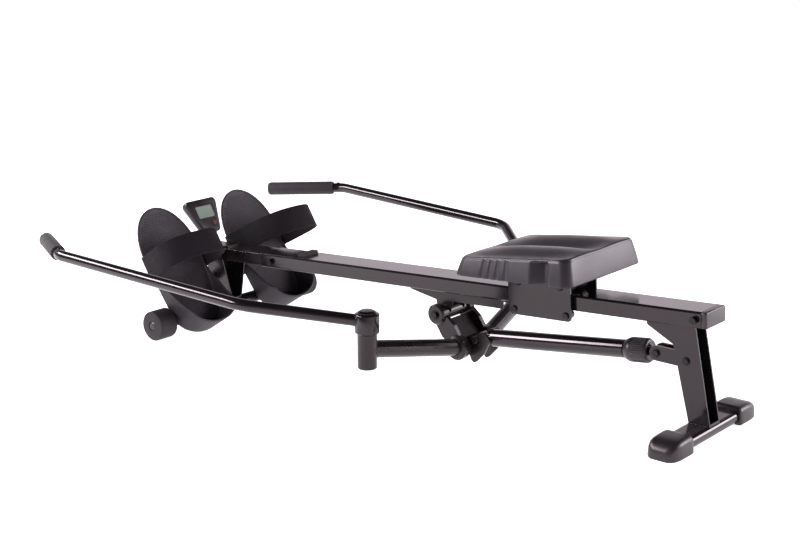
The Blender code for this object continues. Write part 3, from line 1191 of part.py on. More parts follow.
def main():
    """Build the machine."""
    clear_scene()
    paint = painted("black_powder_coat", (0.028, 0.026, 0.027), 0.32, 0.3)
    plastic = painted("black_moulded_plastic", (0.030, 0.030, 0.032), 0.55)
    pedal_plastic = painted("dark_grey_plastic", (0.055, 0.055, 0.058), 0.6)
    rubber = painted("black_rubber", (0.022, 0.022, 0.022), 0.75)
    steel = painted("zinc_plated_steel", (0.22, 0.22, 0.22), 0.35, 1.0)
    chrome = painted("chromed_rod", (0.6, 0.6, 0.6), 0.15, 1.0)
    vinyl = painted("black_seat_vinyl", (0.026, 0.026, 0.027), 0.42)
    webbing = painted("black_webbing", (0.018, 0.018, 0.02), 0.85)
    foam = painted("black_foam", (0.025, 0.025, 0.025), 0.9)
    glass = painted("grey_green_display", (0.42, 0.47, 0.43), 0.2)
    red = painted("red_button", (0.45, 0.14, 0.10), 0.5)

    make_rail(paint, plastic, steel)
    make_front(paint, steel)
    for side, (wheel, _) in make_wheels(rubber, steel).items():
        set_body(f"wheel_spin_{side}", toward((STABILIZER_X, 0, WHEEL_RADIUS), (0, 1, 0)), [wheel])
    for side, sign in SIDES.items():
        pieces = [make_pedal(side, sign, pedal_plastic), make_strap(side, sign, webbing)]
        set_body(f"pedal_tilt_{side}", pedal_frame(sign), pieces)
    housing, screen, button, arm = make_console(plastic, glass, red, paint)
    set_body("button_press", button_frame(), [button])
    seat = make_seat(vinyl, paint, plastic, steel)
    seat_holder = set_body("seat_slide", rail_frame(CARRIAGE_X), seat.pop("fixed"))
    for place, (roller, frame) in seat.items():
        spinner = set_body(f"roller_{place}", frame, [roller])
        world = spinner.matrix_world.copy()
        spinner.parent = seat_holder
        spinner.matrix_world = world
    make_front_stop(rubber)
    make_leg(paint, plastic, steel)
    make_saddle(paint, steel)
    crank = make_crank(paint)
    handles = make_handles(paint, foam, steel)
    crank_pieces = [crank] + [pin for _, pin, _ in handles.values()]
    crank_holder = set_body("arm_lift", toward((PIVOT_X, 0, PIVOT_Z), (0, 1, 0)), crank_pieces)
    for side, sign in SIDES.items():
        outer_arm, _, grip = handles[side]
        elbow = set_body(f"elbow_{side}", at(ELBOW_X, sign * ELBOW_Y, ELBOW_SEAM_Z), [outer_arm, grip])
        world = elbow.matrix_world.copy()
        elbow.parent = crank_holder
        elbow.matrix_world = world
    cylinder = make_cylinder(paint, chrome, plastic, steel)
    body_holder = set_body("cylinder_pitch", toward((CLEVIS_X, 0, CLEVIS_Z), (0, 1, 0)), [cylinder["body"]])
    for name, piece in (("rod_slide", cylinder["rod"]), ("dial_turn", cylinder["dial"])):
        holder = set_body(name, cylinder["frame"], [piece])
        world = holder.matrix_world.copy()
        holder.parent = body_holder
        holder.matrix_world = world
    stand_on_floor()


main()
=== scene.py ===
import enum
import functools
import logging
import math
from dataclasses import dataclass
from typing import Iterable, Sequence

import bmesh
import bpy
from mathutils import Matrix, Vector


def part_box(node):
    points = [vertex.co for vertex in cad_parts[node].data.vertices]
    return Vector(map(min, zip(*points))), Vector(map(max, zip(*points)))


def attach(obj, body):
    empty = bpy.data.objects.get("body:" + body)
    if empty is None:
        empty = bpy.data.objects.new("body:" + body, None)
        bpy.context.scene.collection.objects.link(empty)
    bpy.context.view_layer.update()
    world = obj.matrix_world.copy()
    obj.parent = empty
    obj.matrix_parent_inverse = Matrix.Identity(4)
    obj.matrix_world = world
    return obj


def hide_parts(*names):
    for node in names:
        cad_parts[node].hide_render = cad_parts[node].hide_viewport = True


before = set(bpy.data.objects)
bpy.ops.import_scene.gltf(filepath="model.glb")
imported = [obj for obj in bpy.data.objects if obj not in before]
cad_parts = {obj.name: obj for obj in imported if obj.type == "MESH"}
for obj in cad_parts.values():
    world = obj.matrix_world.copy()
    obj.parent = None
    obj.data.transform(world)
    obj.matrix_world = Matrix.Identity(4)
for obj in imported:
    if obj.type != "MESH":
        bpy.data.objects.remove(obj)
LOG = logging.getLogger("rower")
Outline = list[tuple[float, float]]
Spot = tuple[Vector, Vector, Vector]

# Sizes that the solids are built on, in metres, in their working frame
RAIL_SLOPE = math.radians(4.0)
FLOOR_SLOPE = math.radians(0.586)
RAIL_TOP_Z = 0.220
RAIL_HALF = 0.0381
RAIL_HEIGHT = 0.033
WHEEL_X = -0.541
WHEEL_RADIUS = 0.0355
PIVOT = Vector((0.147, 0.0, 0.150))
SIDES = {"left": -1, "right": 1}
GAP = 0.0003

# Half sizes of a weld's bead along the weld, across it and out of it, and the step to the next
WELD_BEAD = (0.0017, 0.0013, 0.0009)
WELD_PITCH = 0.0024


def linear(colour: str) -> tuple[float, float, float, float]:
    """Turn an sRGB hex colour into linear RGBA.

    Args:
        colour: Six hex digits, with or without a leading hash.

    Returns:
        Linear red, green, blue and an alpha of one.
    """
    digits = colour.lstrip("#")
    parts = [int(digits[start:start + 2], 16) / 255 for start in (0, 2, 4)]
    red, green, blue = (part / 12.92 if part <= 0.04045 else ((part + 0.055) / 1.055) ** 2.4
                        for part in parts)
    return red, green, blue, 1.0


def add_node(tree: bpy.types.NodeTree, kind: str, settings: dict | None = None) -> bpy.types.Node:
    """Add one node, set its properties, and fill or link its inputs.

    Args:
        tree: Node tree that gets the node.
        kind: Blender's identifier of the node.
        settings: Properties by name, then inputs as "in " with the socket's name or number.

    Returns:
        The new node.
    """
    node = tree.nodes.new(kind)
    for key, value in (settings or {}).items():
        if not key.startswith("in "):
            setattr(node, key, value)
            continue
        name = key[3:]
        socket = node.inputs[int(name)] if name.isdigit() else node.inputs[name]
        if isinstance(value, bpy.types.NodeSocket):
            tree.links.new(value, socket)
        else:
            socket.default_value = value
    return node


class Grain(enum.Enum):
    """How a surface is broken up at close range."""

    ORANGE_PEEL = "orange peel of sprayed powder"
    SPARKED = "fine stipple of a spark-eroded mould"
    LEATHER = "leather grain pressed into the skin"
    CELLS = "open pores of cut foam"
    WEAVE = "plain weave that follows the strap"
    TURNED = "fine lines of a turned or drawn metal"


NOISE_DETAIL = {Grain.ORANGE_PEEL: 0.6, Grain.SPARKED: 3.0, Grain.TURNED: 2.0}
DRAWN_OUT = 14.0


@dataclass(frozen=True)
class Finish:
    """One real material: its colours, gloss and surface texture."""

    name: str
    slot: str
    base: str
    second: str
    rough_low: float
    rough_high: float
    grain: Grain
    grain_mm: float
    depth_mm: float
    mottle_mm: float = 40.0
    metallic: float = 0.0
    ior: float = 1.5
    specular: float = 0.5
    sheen: float = 0.0
    gloss_tint: str = "#ffffff"

    def height(self, tree: bpy.types.NodeTree, place: bpy.types.NodeSocket,
               uv: bpy.types.NodeSocket) -> bpy.types.NodeSocket:
        """Build the nodes of the surface texture.

        Args:
            tree: Node tree of the material.
            place: Object coordinates.
            uv: The piece's own UV map, in metres along and across.

        Returns:
            Socket that gives the height from 0 to 1.
        """
        scale = 1000.0 / self.grain_mm
        if self.grain is Grain.WEAVE:
            yarns = [add_node(tree, "ShaderNodeTexWave", {
                "bands_direction": axis, "in Vector": uv, "in Scale": scale * math.pi / 20,
                "in Distortion": 0.4, "in Detail": 1.0, "in Detail Scale": 2.0}) for axis in "XY"]
            squares = add_node(tree, "ShaderNodeTexChecker", {"in Vector": uv, "in Scale": scale})
            both = add_node(tree, "ShaderNodeMix", {
                "in 0": squares.outputs["Fac"], "in 2": yarns[0].outputs["Fac"],
                "in 3": yarns[1].outputs["Fac"]})
            return both.outputs[0]
        if self.grain in (Grain.LEATHER, Grain.CELLS):
            pressed = self.grain is Grain.LEATHER
            cells = add_node(tree, "ShaderNodeTexVoronoi", {
                "feature": "DISTANCE_TO_EDGE" if pressed else "F1",
                "in Vector": place, "in Scale": scale, "in Randomness": 1.0})
            eased = add_node(tree, "ShaderNodeMapRange", {
                "interpolation_type": "SMOOTHSTEP", "in Value": cells.outputs["Distance"],
                "in From Min": 0.0, "in From Max": 0.22 if pressed else 0.6})
            return eased.outputs["Result"]
        stretch = (1.0, 1.0, DRAWN_OUT if self.grain is Grain.TURNED else 1.0)
        spread = add_node(tree, "ShaderNodeMapping", {"in Vector": place, "in Scale": stretch})
        noise = add_node(tree, "ShaderNodeTexNoise", {
            "in Vector": spread.outputs["Vector"], "in Scale": scale,
            "in Detail": NOISE_DETAIL[self.grain], "in Roughness": 0.55})
        return noise.outputs["Fac"]

    def build(self) -> bpy.types.Material:
        """Make the material.

        Returns:
            A node material on object coordinates, or on the UV map where it is woven.
        """
        material = bpy.data.materials.new(self.name)
        material.use_nodes = True
        tree = material.node_tree
        shader = tree.nodes["Principled BSDF"]
        places = add_node(tree, "ShaderNodeTexCoord")
        place, uv = places.outputs["Object"], places.outputs["UV"]
        mottle = add_node(tree, "ShaderNodeTexNoise", {
            "in Vector": place, "in Scale": 1000.0 / self.mottle_mm, "in Detail": 4.0,
            "in Roughness": 0.6})
        height = self.height(tree, place, uv)
        share = mottle.outputs["Fac"]
        if self.grain in (Grain.WEAVE, Grain.CELLS, Grain.SPARKED):
            share = add_node(tree, "ShaderNodeMix", {
                "in 0": 0.55, "in 2": share, "in 3": height}).outputs[0]
        tint = add_node(tree, "ShaderNodeMix", {
            "data_type": "RGBA", "in 0": share, "in 6": linear(self.base),
            "in 7": linear(self.second)})
        rough = add_node(tree, "ShaderNodeMapRange", {
            "in Value": mottle.outputs["Fac"], "in From Min": 0.3, "in From Max": 0.7,
            "in To Min": self.rough_low, "in To Max": self.rough_high})
        bump = add_node(tree, "ShaderNodeBump", {
            "in Strength": 1.0, "in Distance": self.depth_mm / 1000.0, "in Height": height})
        for name, socket in (("Base Color", tint.outputs[2]), ("Normal", bump.outputs["Normal"]),
                             ("Roughness", rough.outputs["Result"])):
            tree.links.new(socket, shader.inputs[name])
        for name, value in (("Metallic", self.metallic), ("IOR", self.ior),
                            ("Specular IOR Level", self.specular), ("Sheen Weight", self.sheen),
                            ("Specular Tint", linear(self.gloss_tint))):
            shader.inputs[name].default_value = value
        material.diffuse_color = linear(self.base)
        return material


@functools.cache
def material_of(finish: Finish) -> bpy.types.Material:
    """Give the Blender material of a finish, built the first time it is asked for."""
    return finish.build()


# Gloss epoxy powder coat, sprayed and baked on steel: black, with crisp lamp stripes and soft peel
POWDER_COAT = Finish(
    "gloss_powder_coat", "frame_paint", "#0e0b0e", "#151215", 0.12, 0.18,
    Grain.ORANGE_PEEL, 2.6, 0.006, 70.0, specular=0.45, gloss_tint="#fdecf4")
# The same powder on rough castings and welded sheet: less gloss, more peel
CAST_COAT = Finish(
    "powder_coat_on_castings", "frame_paint", "#100c0e", "#191517", 0.24, 0.34,
    Grain.ORANGE_PEEL, 1.8, 0.03, 30.0, specular=0.38, gloss_tint="#fdeef5")
# Polypropylene moulded in a spark-eroded tool: matt, dark grey, stippled
PP_GREY = Finish(
    "moulded_polypropylene", "footplate_plastic", "#1e1b1f", "#2c292f", 0.50, 0.62,
    Grain.SPARKED, 1.4, 0.10, 18.0, specular=0.4, gloss_tint="#fff2fa")
# ABS for housings and caps: a touch smoother and glossier than the footplates
ABS_BLACK = Finish(
    "moulded_abs", "moulded_plastic", "#1b171a", "#262225", 0.30, 0.42,
    Grain.SPARKED, 0.9, 0.03, 25.0, specular=0.45, gloss_tint="#fdf0f9")
# Solid rubber of wheels and stops: matt, with faint bloom
RUBBER = Finish(
    "solid_rubber", "wheel_rubber", "#1d191c", "#2d292c", 0.55, 0.70,
    Grain.SPARKED, 1.1, 0.06, 15.0, specular=0.3, gloss_tint="#fdf2fb")
# Black zinc plating on bolts: a dark metal with turned lines
BLACK_ZINC = Finish(
    "black_zinc_plate", "hardware", "#272426", "#383437", 0.26, 0.40,
    Grain.TURNED, 0.5, 0.01, 6.0, metallic=1.0)
# Hard chrome on the piston rod: a mirror with faint drawing lines
HARD_CHROME = Finish(
    "hard_chrome", "rod_chrome", "#c9c8c8", "#dcdbda", 0.07, 0.13,
    Grain.TURNED, 0.4, 0.003, 12.0, metallic=1.0)
# Integral-skin polyurethane foam: a soft gloss with a pressed grain
SKIN_FOAM = Finish(
    "integral_skin_polyurethane", "seat_cover", "#1f1b1f", "#292529", 0.30, 0.42,
    Grain.LEATHER, 1.7, 0.03, 45.0, specular=0.4, gloss_tint="#fcf0fb")
# Polyester webbing, drawn twice as coarse as it is so that it shows: the yarn swallows light
WEBBING = Finish(
    "polyester_webbing", "strap_webbing", "#100c10", "#1b161d", 0.70, 0.88,
    Grain.WEAVE, 2.0, 0.20, 20.0, sheen=0.03, specular=0.12)
# Nitrile foam sleeve: matt, with fine pores
SLEEVE_FOAM = Finish(
    "nitrile_foam_sleeve", "grip_foam", "#1c181b", "#2a2529", 0.62, 0.78,
    Grain.CELLS, 0.8, 0.05, 20.0, sheen=0.05, specular=0.35, gloss_tint="#fdf2fb")
# Liquid crystal display behind acrylic: grey-green and glossy
LIQUID_CRYSTAL = Finish(
    "liquid_crystal_window", "display", "#7f8b83", "#939e95", 0.10, 0.16,
    Grain.ORANGE_PEEL, 6.0, 0.002, 20.0, ior=1.49)
# Silicone key: soft red
SILICONE = Finish(
    "silicone_key", "button", "#6d3f3d", "#7d4a47", 0.45, 0.55,
    Grain.SPARKED, 0.8, 0.02, 5.0, ior=1.41)


def centre_of(node: str) -> Vector:
    """Middle of a solid's box at rest."""
    low, high = (Vector(corner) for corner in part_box(node))
    return (low + high) / 2


LEVEL = Matrix.Rotation(FLOOR_SLOPE, 4, "Y")
PLACE = Matrix.Translation(centre_of("pivot_bolt") - LEVEL @ PIVOT) @ LEVEL


def at(x: float, y: float, z: float) -> Matrix:
    """Frame at a point, along the world's axes."""
    return Matrix.Translation((x, y, z))


def toward(point: Sequence[float], direction: Sequence[float],
           upright: Sequence[float] = (0, 0, 1)) -> Matrix:
    """Frame with its Z along a direction.

    Args:
        point: Origin of the frame.
        direction: Way that Z points.
        upright: Y is kept near this.

    Returns:
        The frame as a matrix.
    """
    z_axis = Vector(direction).normalized()
    up = Vector(upright)
    if abs(z_axis.dot(up.normalized())) > 0.99:
        up = Vector((0, 1, 0))
    x_axis = up.cross(z_axis).normalized()
    turn = Matrix((x_axis, z_axis.cross(x_axis), z_axis)).transposed().to_4x4()
    return Matrix.Translation(Vector(point)) @ turn


def rail_frame(x: float = 0.0, height: float = 0.0) -> Matrix:
    """Frame on the rail: X along it, zero height on its top face."""
    return at(0, 0, RAIL_TOP_Z) @ Matrix.Rotation(-RAIL_SLOPE, 4, "Y") @ at(x, 0, height)


def floor_frame(x: float) -> Matrix:
    """Frame on the floor under a place: X along the floor, Z square to it."""
    under_wheel = WHEEL_RADIUS - WHEEL_RADIUS / math.cos(FLOOR_SLOPE)
    height = under_wheel + (x - WHEEL_X) * math.tan(FLOOR_SLOPE)
    return at(x, 0, height) @ Matrix.Rotation(-FLOOR_SLOPE, 4, "Y")


def smoothstep(low: float, high: float, value: float) -> float:
    """Ease from 0 at low to 1 at high."""
    share = min(max((value - low) / (high - low), 0.0), 1.0)
    return share * share * (3 - 2 * share)


def turns(count: int) -> list[float]:
    """Angles of a full turn in equal steps."""
    return [2 * math.pi * step / count for step in range(count)]


def rounded(points: Sequence[Sequence[float]], radii: float | Sequence[float],
            steps: int = 5) -> Outline:
    """Round the corners of a polygon.

    Args:
        points: Corners in order.
        radii: One radius, or one for each corner.
        steps: Segments of each arc.

    Returns:
        The outline's points.
    """
    sizes = list(radii) if isinstance(radii, (list, tuple)) else [radii] * len(points)
    outline: Outline = []
    for index, corner in enumerate(points):
        here = Vector(corner)
        before = Vector(points[index - 1]) - here
        after = Vector(points[(index + 1) % len(points)]) - here
        if sizes[index] <= 0:
            outline.append((here.x, here.y))
            continue
        half = before.angle(after) / 2
        reach = min(sizes[index] / math.tan(half), 0.49 * before.length, 0.49 * after.length)
        size = reach * math.tan(half)
        inward = (before.normalized() + after.normalized()).normalized()
        middle = here + inward * (size / math.sin(half))
        start = here + before.normalized() * reach - middle
        end = here + after.normalized() * reach - middle
        first = math.atan2(start.y, start.x)
        sweep = (math.atan2(end.y, end.x) - first + math.pi) % (2 * math.pi) - math.pi
        for step in range(steps + 1):
            angle = first + sweep * step / steps
            outline.append((middle.x + size * math.cos(angle), middle.y + size * math.sin(angle)))
    return outline


def rounded_box(half_width: float, half_height: float, radius: float, steps: int,
                middle: float = 0.0) -> Outline:
    """Rounded rectangle about the origin, or raised to a middle height."""
    low, high = middle - half_height, middle + half_height
    return rounded([(-half_width, low), (half_width, low), (half_width, high), (-half_width, high)],
                   radius, steps)


def loft(rings: Sequence[Sequence[Vector]], caps: bool = True,
         loop: bool = False) -> bmesh.types.BMesh:
    """Skin closed rings of equal length.

    Args:
        rings: Rings of points.
        caps: Close the two ends with a face.
        loop: Join the last ring to the first.

    Returns:
        The mesh under construction.
    """
    build = bmesh.new()
    made = [[build.verts.new(point) for point in ring] for ring in rings]
    pairs = list(zip(made, made[1:])) + ([(made[-1], made[0])] if loop else [])
    for low, high in pairs:
        for step in range(len(low)):
            after = (step + 1) % len(low)
            build.faces.new((low[step], low[after], high[after], high[step]))
    if caps and not loop:
        build.faces.new(list(reversed(made[0])))
        build.faces.new(made[-1])
    return build


def revolve(profile: Outline, frame_at: Matrix, segments: int = 48) -> bmesh.types.BMesh:
    """Turn a profile about a frame's Z.

    Args:
        profile: Rows of radius and height; it is closed when it starts away from the axis.
        frame_at: Where the axis stands.
        segments: Steps of the turn.

    Returns:
        The mesh under construction.
    """
    thinnest = 1e-6
    rings = []
    for radius, height in profile:
        size = max(radius, thinnest)
        rings.append([frame_at @ Vector((size * math.cos(a), size * math.sin(a), height))
                      for a in turns(segments)])
    on_axis = profile[0][0] < thinnest
    return loft(rings, caps=on_axis, loop=not on_axis)


def sweep_tube(route: Sequence[Vector], radius: float, sides: int = 40) -> bmesh.types.BMesh:
    """Draw a round section along a route.

    Args:
        route: Points of the centre line.
        radius: The tube's radius.
        sides: Points of each ring.

    Returns:
        The mesh under construction.
    """
    rings = []
    side_axis = (route[1] - route[0]).orthogonal().normalized()
    for index, point in enumerate(route):
        before, after = route[max(index - 1, 0)], route[min(index + 1, len(route) - 1)]
        heading = (after - before).normalized()
        side_axis = (side_axis - heading * side_axis.dot(heading)).normalized()
        other = heading.cross(side_axis)
        rings.append([point + (side_axis * math.cos(a) + other * math.sin(a)) * radius
                      for a in turns(sides)])
    return loft(rings)


def slab(outline: Outline, low: float, high: float, frame_at: Matrix) -> bmesh.types.BMesh:
    """Draw an outline out along a frame's Z."""
    return loft([[frame_at @ Vector((x, y, height)) for x, y in outline] for height in (low, high)])


def as_mesh(build: bmesh.types.BMesh, name: str) -> bpy.types.Mesh:
    """Turn a mesh under construction into mesh data, and free it."""
    mesh = bpy.data.meshes.new(name)
    build.to_mesh(mesh)
    build.free()
    return mesh


def merged(builds: Iterable[bmesh.types.BMesh]) -> bmesh.types.BMesh:
    """Put several closed shells into one mesh."""
    total = bmesh.new()
    for build in builds:
        mesh = as_mesh(build, "part")
        total.from_mesh(mesh)
        bpy.data.meshes.remove(mesh)
    return total


def in_scene(name: str, data: bpy.types.ID) -> bpy.types.Object:
    """Make an object of some data and link it to the scene."""
    item = bpy.data.objects.new(name, data)
    bpy.context.scene.collection.objects.link(item)
    return item


def evaluated(item: bpy.types.Object) -> bpy.types.Mesh:
    """Plain mesh of an object with its modifiers applied."""
    graph = bpy.context.evaluated_depsgraph_get()
    return bpy.data.meshes.new_from_object(item.evaluated_get(graph))


@dataclass
class Piece:
    """One finished piece on its way into the scene."""

    name: str
    body: str
    finish: Finish
    stands_for: tuple[str, ...] = ()
    sharp: float = 40.0
    padded: float | None = None

    def place(self, build: bmesh.types.BMesh) -> bpy.types.Object:
        """Turn a mesh in the working frame into a piece that rides on its body."""
        bmesh.ops.remove_doubles(build, verts=build.verts, dist=2e-6)
        bmesh.ops.recalc_face_normals(build, faces=build.faces)
        return self.adopt(as_mesh(build, self.name))

    def adopt(self, mesh: bpy.types.Mesh) -> bpy.types.Object:
        """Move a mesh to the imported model's frame; give it its object, finish and body."""
        mesh.transform(PLACE)
        mesh.materials.clear()
        mesh.materials.append(material_of(self.finish))
        mesh.shade_smooth()
        mesh.set_sharp_from_angle(angle=math.radians(self.sharp))
        item = in_scene(self.name, mesh)
        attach(item, self.body)
        if self.stands_for:
            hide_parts(*self.stands_for)
        LOG.info("%s rides on %s", self.name, self.body)
        return item


def dress(finish: Finish, *nodes: str) -> None:
    """Give CAD solids their finish."""
    for name in nodes:
        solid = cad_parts[name]
        solid.data.materials.clear()
        solid.data.materials.append(material_of(finish))
        LOG.info("%s keeps its solid in %s", name, finish.name)


def bore_out(item: bpy.types.Object, build: bmesh.types.BMesh) -> None:
    """Take a cutter out of a placed piece; the cut faces get the piece's finish.

    Args:
        item: The piece.
        build: The cutter, in the working frame.
    """
    coat = item.data.materials[0]
    bmesh.ops.recalc_face_normals(build, faces=build.faces)
    mesh = as_mesh(build, "cutter")
    mesh.transform(PLACE)
    cutter = in_scene("cutter", mesh)
    step = item.modifiers.new("bore", "BOOLEAN")
    step.operation, step.solver, step.object = "DIFFERENCE", "EXACT", cutter
    solved = evaluated(item)
    item.modifiers.clear()
    item.data = solved
    solved.materials.clear()
    solved.materials.append(coat)
    solved.set_sharp_from_angle(angle=math.radians(35))
    bpy.data.objects.remove(cutter, do_unlink=True)


class Shape(enum.Enum):
    """Small solid that a row repeats."""

    STUD = "GeometryNodeMeshCone"
    BEAD = "GeometryNodeMeshIcoSphere"


@dataclass
class Row:
    """Small solids repeated on points by Geometry Nodes."""

    piece: Piece
    shape: Shape
    size: tuple[float, float, float]
    taper: float = 0.7

    def tree(self) -> bpy.types.GeometryNodeTree:
        """Build the node tree: one solid on each point, turned by the point's own axes."""
        tree = bpy.data.node_groups.new(self.piece.name, "GeometryNodeTree")
        for name, way, kind in (("Geometry", "INPUT", "Geometry"), ("Size", "INPUT", "Vector"),
                                ("Taper", "INPUT", "Float"), ("Geometry", "OUTPUT", "Geometry")):
            tree.interface.new_socket(name, in_out=way, socket_type=f"NodeSocket{kind}")
        given = add_node(tree, "NodeGroupInput")
        measures = {"in Subdivisions": 2}
        if self.shape is Shape.STUD:
            measures = {"in Vertices": 10, "in Radius Bottom": 1.0, "in Depth": 1.0,
                        "in Radius Top": given.outputs["Taper"]}
        unit = add_node(tree, self.shape.value, measures)
        axes = [add_node(tree, "GeometryNodeInputNamedAttribute", {
            "data_type": "FLOAT_VECTOR", "in Name": name}) for name in ("facing", "heading")]
        turn = add_node(tree, "FunctionNodeAxesToRotation", {
            "primary_axis": "Z", "secondary_axis": "X", "in 0": axes[0].outputs[0],
            "in 1": axes[1].outputs[0]})
        spread = add_node(tree, "GeometryNodeInstanceOnPoints", {
            "in Points": given.outputs["Geometry"], "in Instance": unit.outputs["Mesh"],
            "in Rotation": turn.outputs[0], "in Scale": given.outputs["Size"]})
        real = add_node(tree, "GeometryNodeRealizeInstances", {"in Geometry": spread.outputs[0]})
        smooth = add_node(tree, "GeometryNodeSetShadeSmooth", {"in Geometry": real.outputs[0]})
        coat = add_node(tree, "GeometryNodeSetMaterial", {
            "in Geometry": smooth.outputs[0], "in Material": material_of(self.piece.finish)})
        add_node(tree, "NodeGroupOutput", {"in Geometry": coat.outputs[0]})
        return tree

    def place(self, spots: Sequence[Spot]) -> bpy.types.Object:
        """Set the row out.

        Args:
            spots: For each solid its point, the way it faces and the way it heads.

        Returns:
            The row as one plain mesh that rides on its body.
        """
        seed = bpy.data.meshes.new("seed")
        seed.from_pydata([spot[0] for spot in spots], [], [])
        for column, name in ((1, "facing"), (2, "heading")):
            held = seed.attributes.new(name, "FLOAT_VECTOR", "POINT")
            held.data.foreach_set("vector", [value for spot in spots for value in spot[column]])
        holder = in_scene("seed", seed)
        step = holder.modifiers.new("row", "NODES")
        step.node_group = self.tree()
        sockets = {item.name: item.identifier for item in step.node_group.interface.items_tree
                   if item.in_out == "INPUT"}
        step[sockets["Size"]] = self.size
        step[sockets["Taper"]] = self.taper
        mesh = evaluated(holder)
        mesh.name = self.piece.name
        bpy.data.objects.remove(holder, do_unlink=True)
        bpy.data.meshes.remove(seed)
        return self.piece.adopt(mesh)


def bead_line(points: Sequence[Vector], facing: Vector) -> list[Spot]:
    """Spots of a weld along a line of points, with the way that its beads face."""
    spots = []
    for start, end in zip(points, points[1:]):
        count = max(int((end - start).length / WELD_PITCH), 1)
        heading = (end - start).normalized()
        spots += [(start.lerp(end, (step + 0.5) / count), facing, heading) for step in range(count)]
    return spots


def bead_saddle(start: Vector, heading: Vector, radius: float, post_radius: float) -> list[Spot]:
    """Spots of a weld where a tube leaves an upright round post.

    Args:
        start: Point of the tube's middle line on the post's.
        heading: Way that the tube leaves.
        radius: The tube's radius.
        post_radius: The post's radius.

    Returns:
        Spots for Row.place.
    """
    turn = toward(start, heading).to_3x3()
    ahead = turn @ Vector((0, 0, 1))
    flat = Vector((ahead.x, ahead.y))
    spread = flat.dot(flat)
    count = max(int(2 * math.pi * radius / WELD_PITCH), 8)
    points = []
    for step in range(count + 1):
        angle = 2 * math.pi * step / count
        rim = turn @ Vector((math.cos(angle) * radius, math.sin(angle) * radius, 0))
        side = Vector((rim.x, rim.y))
        reach = flat.dot(side)
        beyond = side.dot(side) - post_radius ** 2
        along = (-reach + math.sqrt(reach * reach - spread * beyond)) / spread
        points.append((start + rim + ahead * along, rim.normalized()))
    return [((here + after).lerp(Vector(), 0.5), out, (after - here).normalized())
            for (here, out), (after, _) in zip(points, points[1:])]


def weld(name: str, body: str, finish: Finish, spots: Sequence[Spot]) -> None:
    """Make one weld from its spots."""
    Row(Piece(name, body, finish, sharp=180), Shape.BEAD, WELD_BEAD).place(spots)


@dataclass
class Rail:
    """The flat tube that the seat rolls on, and the block in its rear end."""

    rear: float = 0.776

    def end_block(self) -> None:
        """Moulded cap that closes the tube, with the fine step where it meets the steel."""
        quarter = math.pi / 2
        stand = rail_frame() @ Matrix.Rotation(quarter, 4, "Y") @ Matrix.Rotation(quarter, 4, "Z")
        half_height = RAIL_HEIGHT / 2
        rings = []
        for along, inset, corner in ((0.0, 0.0006, 0.004), (0.0008, 0.0, 0.0045),
                                     (0.0092, 0.0, 0.0045), (0.0108, 0.0006, 0.005),
                                     (0.0115, 0.0017, 0.005), (0.0117, 0.0030, 0.005)):
            outline = rounded_box(RAIL_HALF - inset, half_height - inset, corner, 6, -half_height)
            rings.append([stand @ Vector((x, y, self.rear + GAP + along)) for x, y in outline])
        Piece("rail_end_block", "frame", ABS_BLACK, ("beam_rear_cap",), sharp=50).place(loft(rings))

    def build(self) -> None:
        """Dress the rail and its fittings."""
        dress(POWDER_COAT, "main_beam")
        dress(BLACK_ZINC, "rear_stop_bolt", "front_post_bolt")
        dress(RUBBER, "front_seat_stop")
        self.end_block()


@dataclass
class FrontFrame:
    """Front post, cross tube, transport wheels and the spacers on the footplates' axle."""

    wheel_length: float = 0.051
    wheel_inner: float = 0.2163
    bore: float = 0.0065
    bolt_seat: tuple[float, float] = (0.0118, 0.0018)
    axle: tuple[float, float, float] = (-0.5842, 0.0, 0.096)
    axle_radius: float = 0.007
    sleeve: tuple[float, float] = (0.0365, 0.0850)
    sleeve_radius: float = 0.0135
    sleeve_ease: float = 0.0008

    def wheel(self, side: str) -> None:
        """Solid wheel with a plain tread, eased edges and a shallow seat for its bolt."""
        radius, inner = WHEEL_RADIUS, self.wheel_inner
        outer = inner + self.wheel_length
        seat, depth = self.bolt_seat
        profile = [(self.bore, inner), (radius - 0.006, inner), (radius - 0.0030, inner + 0.0008),
                   (radius - 0.0008, inner + 0.0030), (radius, inner + 0.006),
                   (radius, outer - 0.005), (radius - 0.0006, outer - 0.0022),
                   (radius - 0.0022, outer - 0.0006), (radius - 0.0048, outer),
                   (seat + 0.0010, outer), (seat + 0.0004, outer - 0.0004),
                   (seat, outer - depth), (self.bore, outer - depth)]
        stand = toward((WHEEL_X, 0, radius), (0, SIDES[side], 0))
        name = f"wheel_{side}"
        Piece(name, name, RUBBER, (f"transport_wheel_{side}",), sharp=32).place(
            revolve(profile, stand, 64))

    def axle_sleeve(self, side: str) -> None:
        """Spacer tube on the footplates' axle, from the post to the plate's inner ear."""
        start, end = self.sleeve
        radius, bore, ease = self.sleeve_radius, self.axle_radius + GAP, self.sleeve_ease
        profile = [(bore, start), (radius - ease, start), (radius, start + ease),
                   (radius, end - ease), (radius - ease, end), (bore, end)]
        Piece(f"axle_sleeve_{side}", "frame", CAST_COAT).place(
            revolve(profile, toward(self.axle, (0, SIDES[side], 0)), 40))

    def build(self) -> None:
        """Dress the front frame and place the wheels and the spacers."""
        dress(CAST_COAT, "front_post")
        dress(POWDER_COAT, "front_stabilizer")
        dress(BLACK_ZINC, "pedal_axle")
        dress(ABS_BLACK, "wheel_bolt_left", "wheel_bolt_right")
        for side in SIDES:
            self.wheel(side)
            self.axle_sleeve(side)


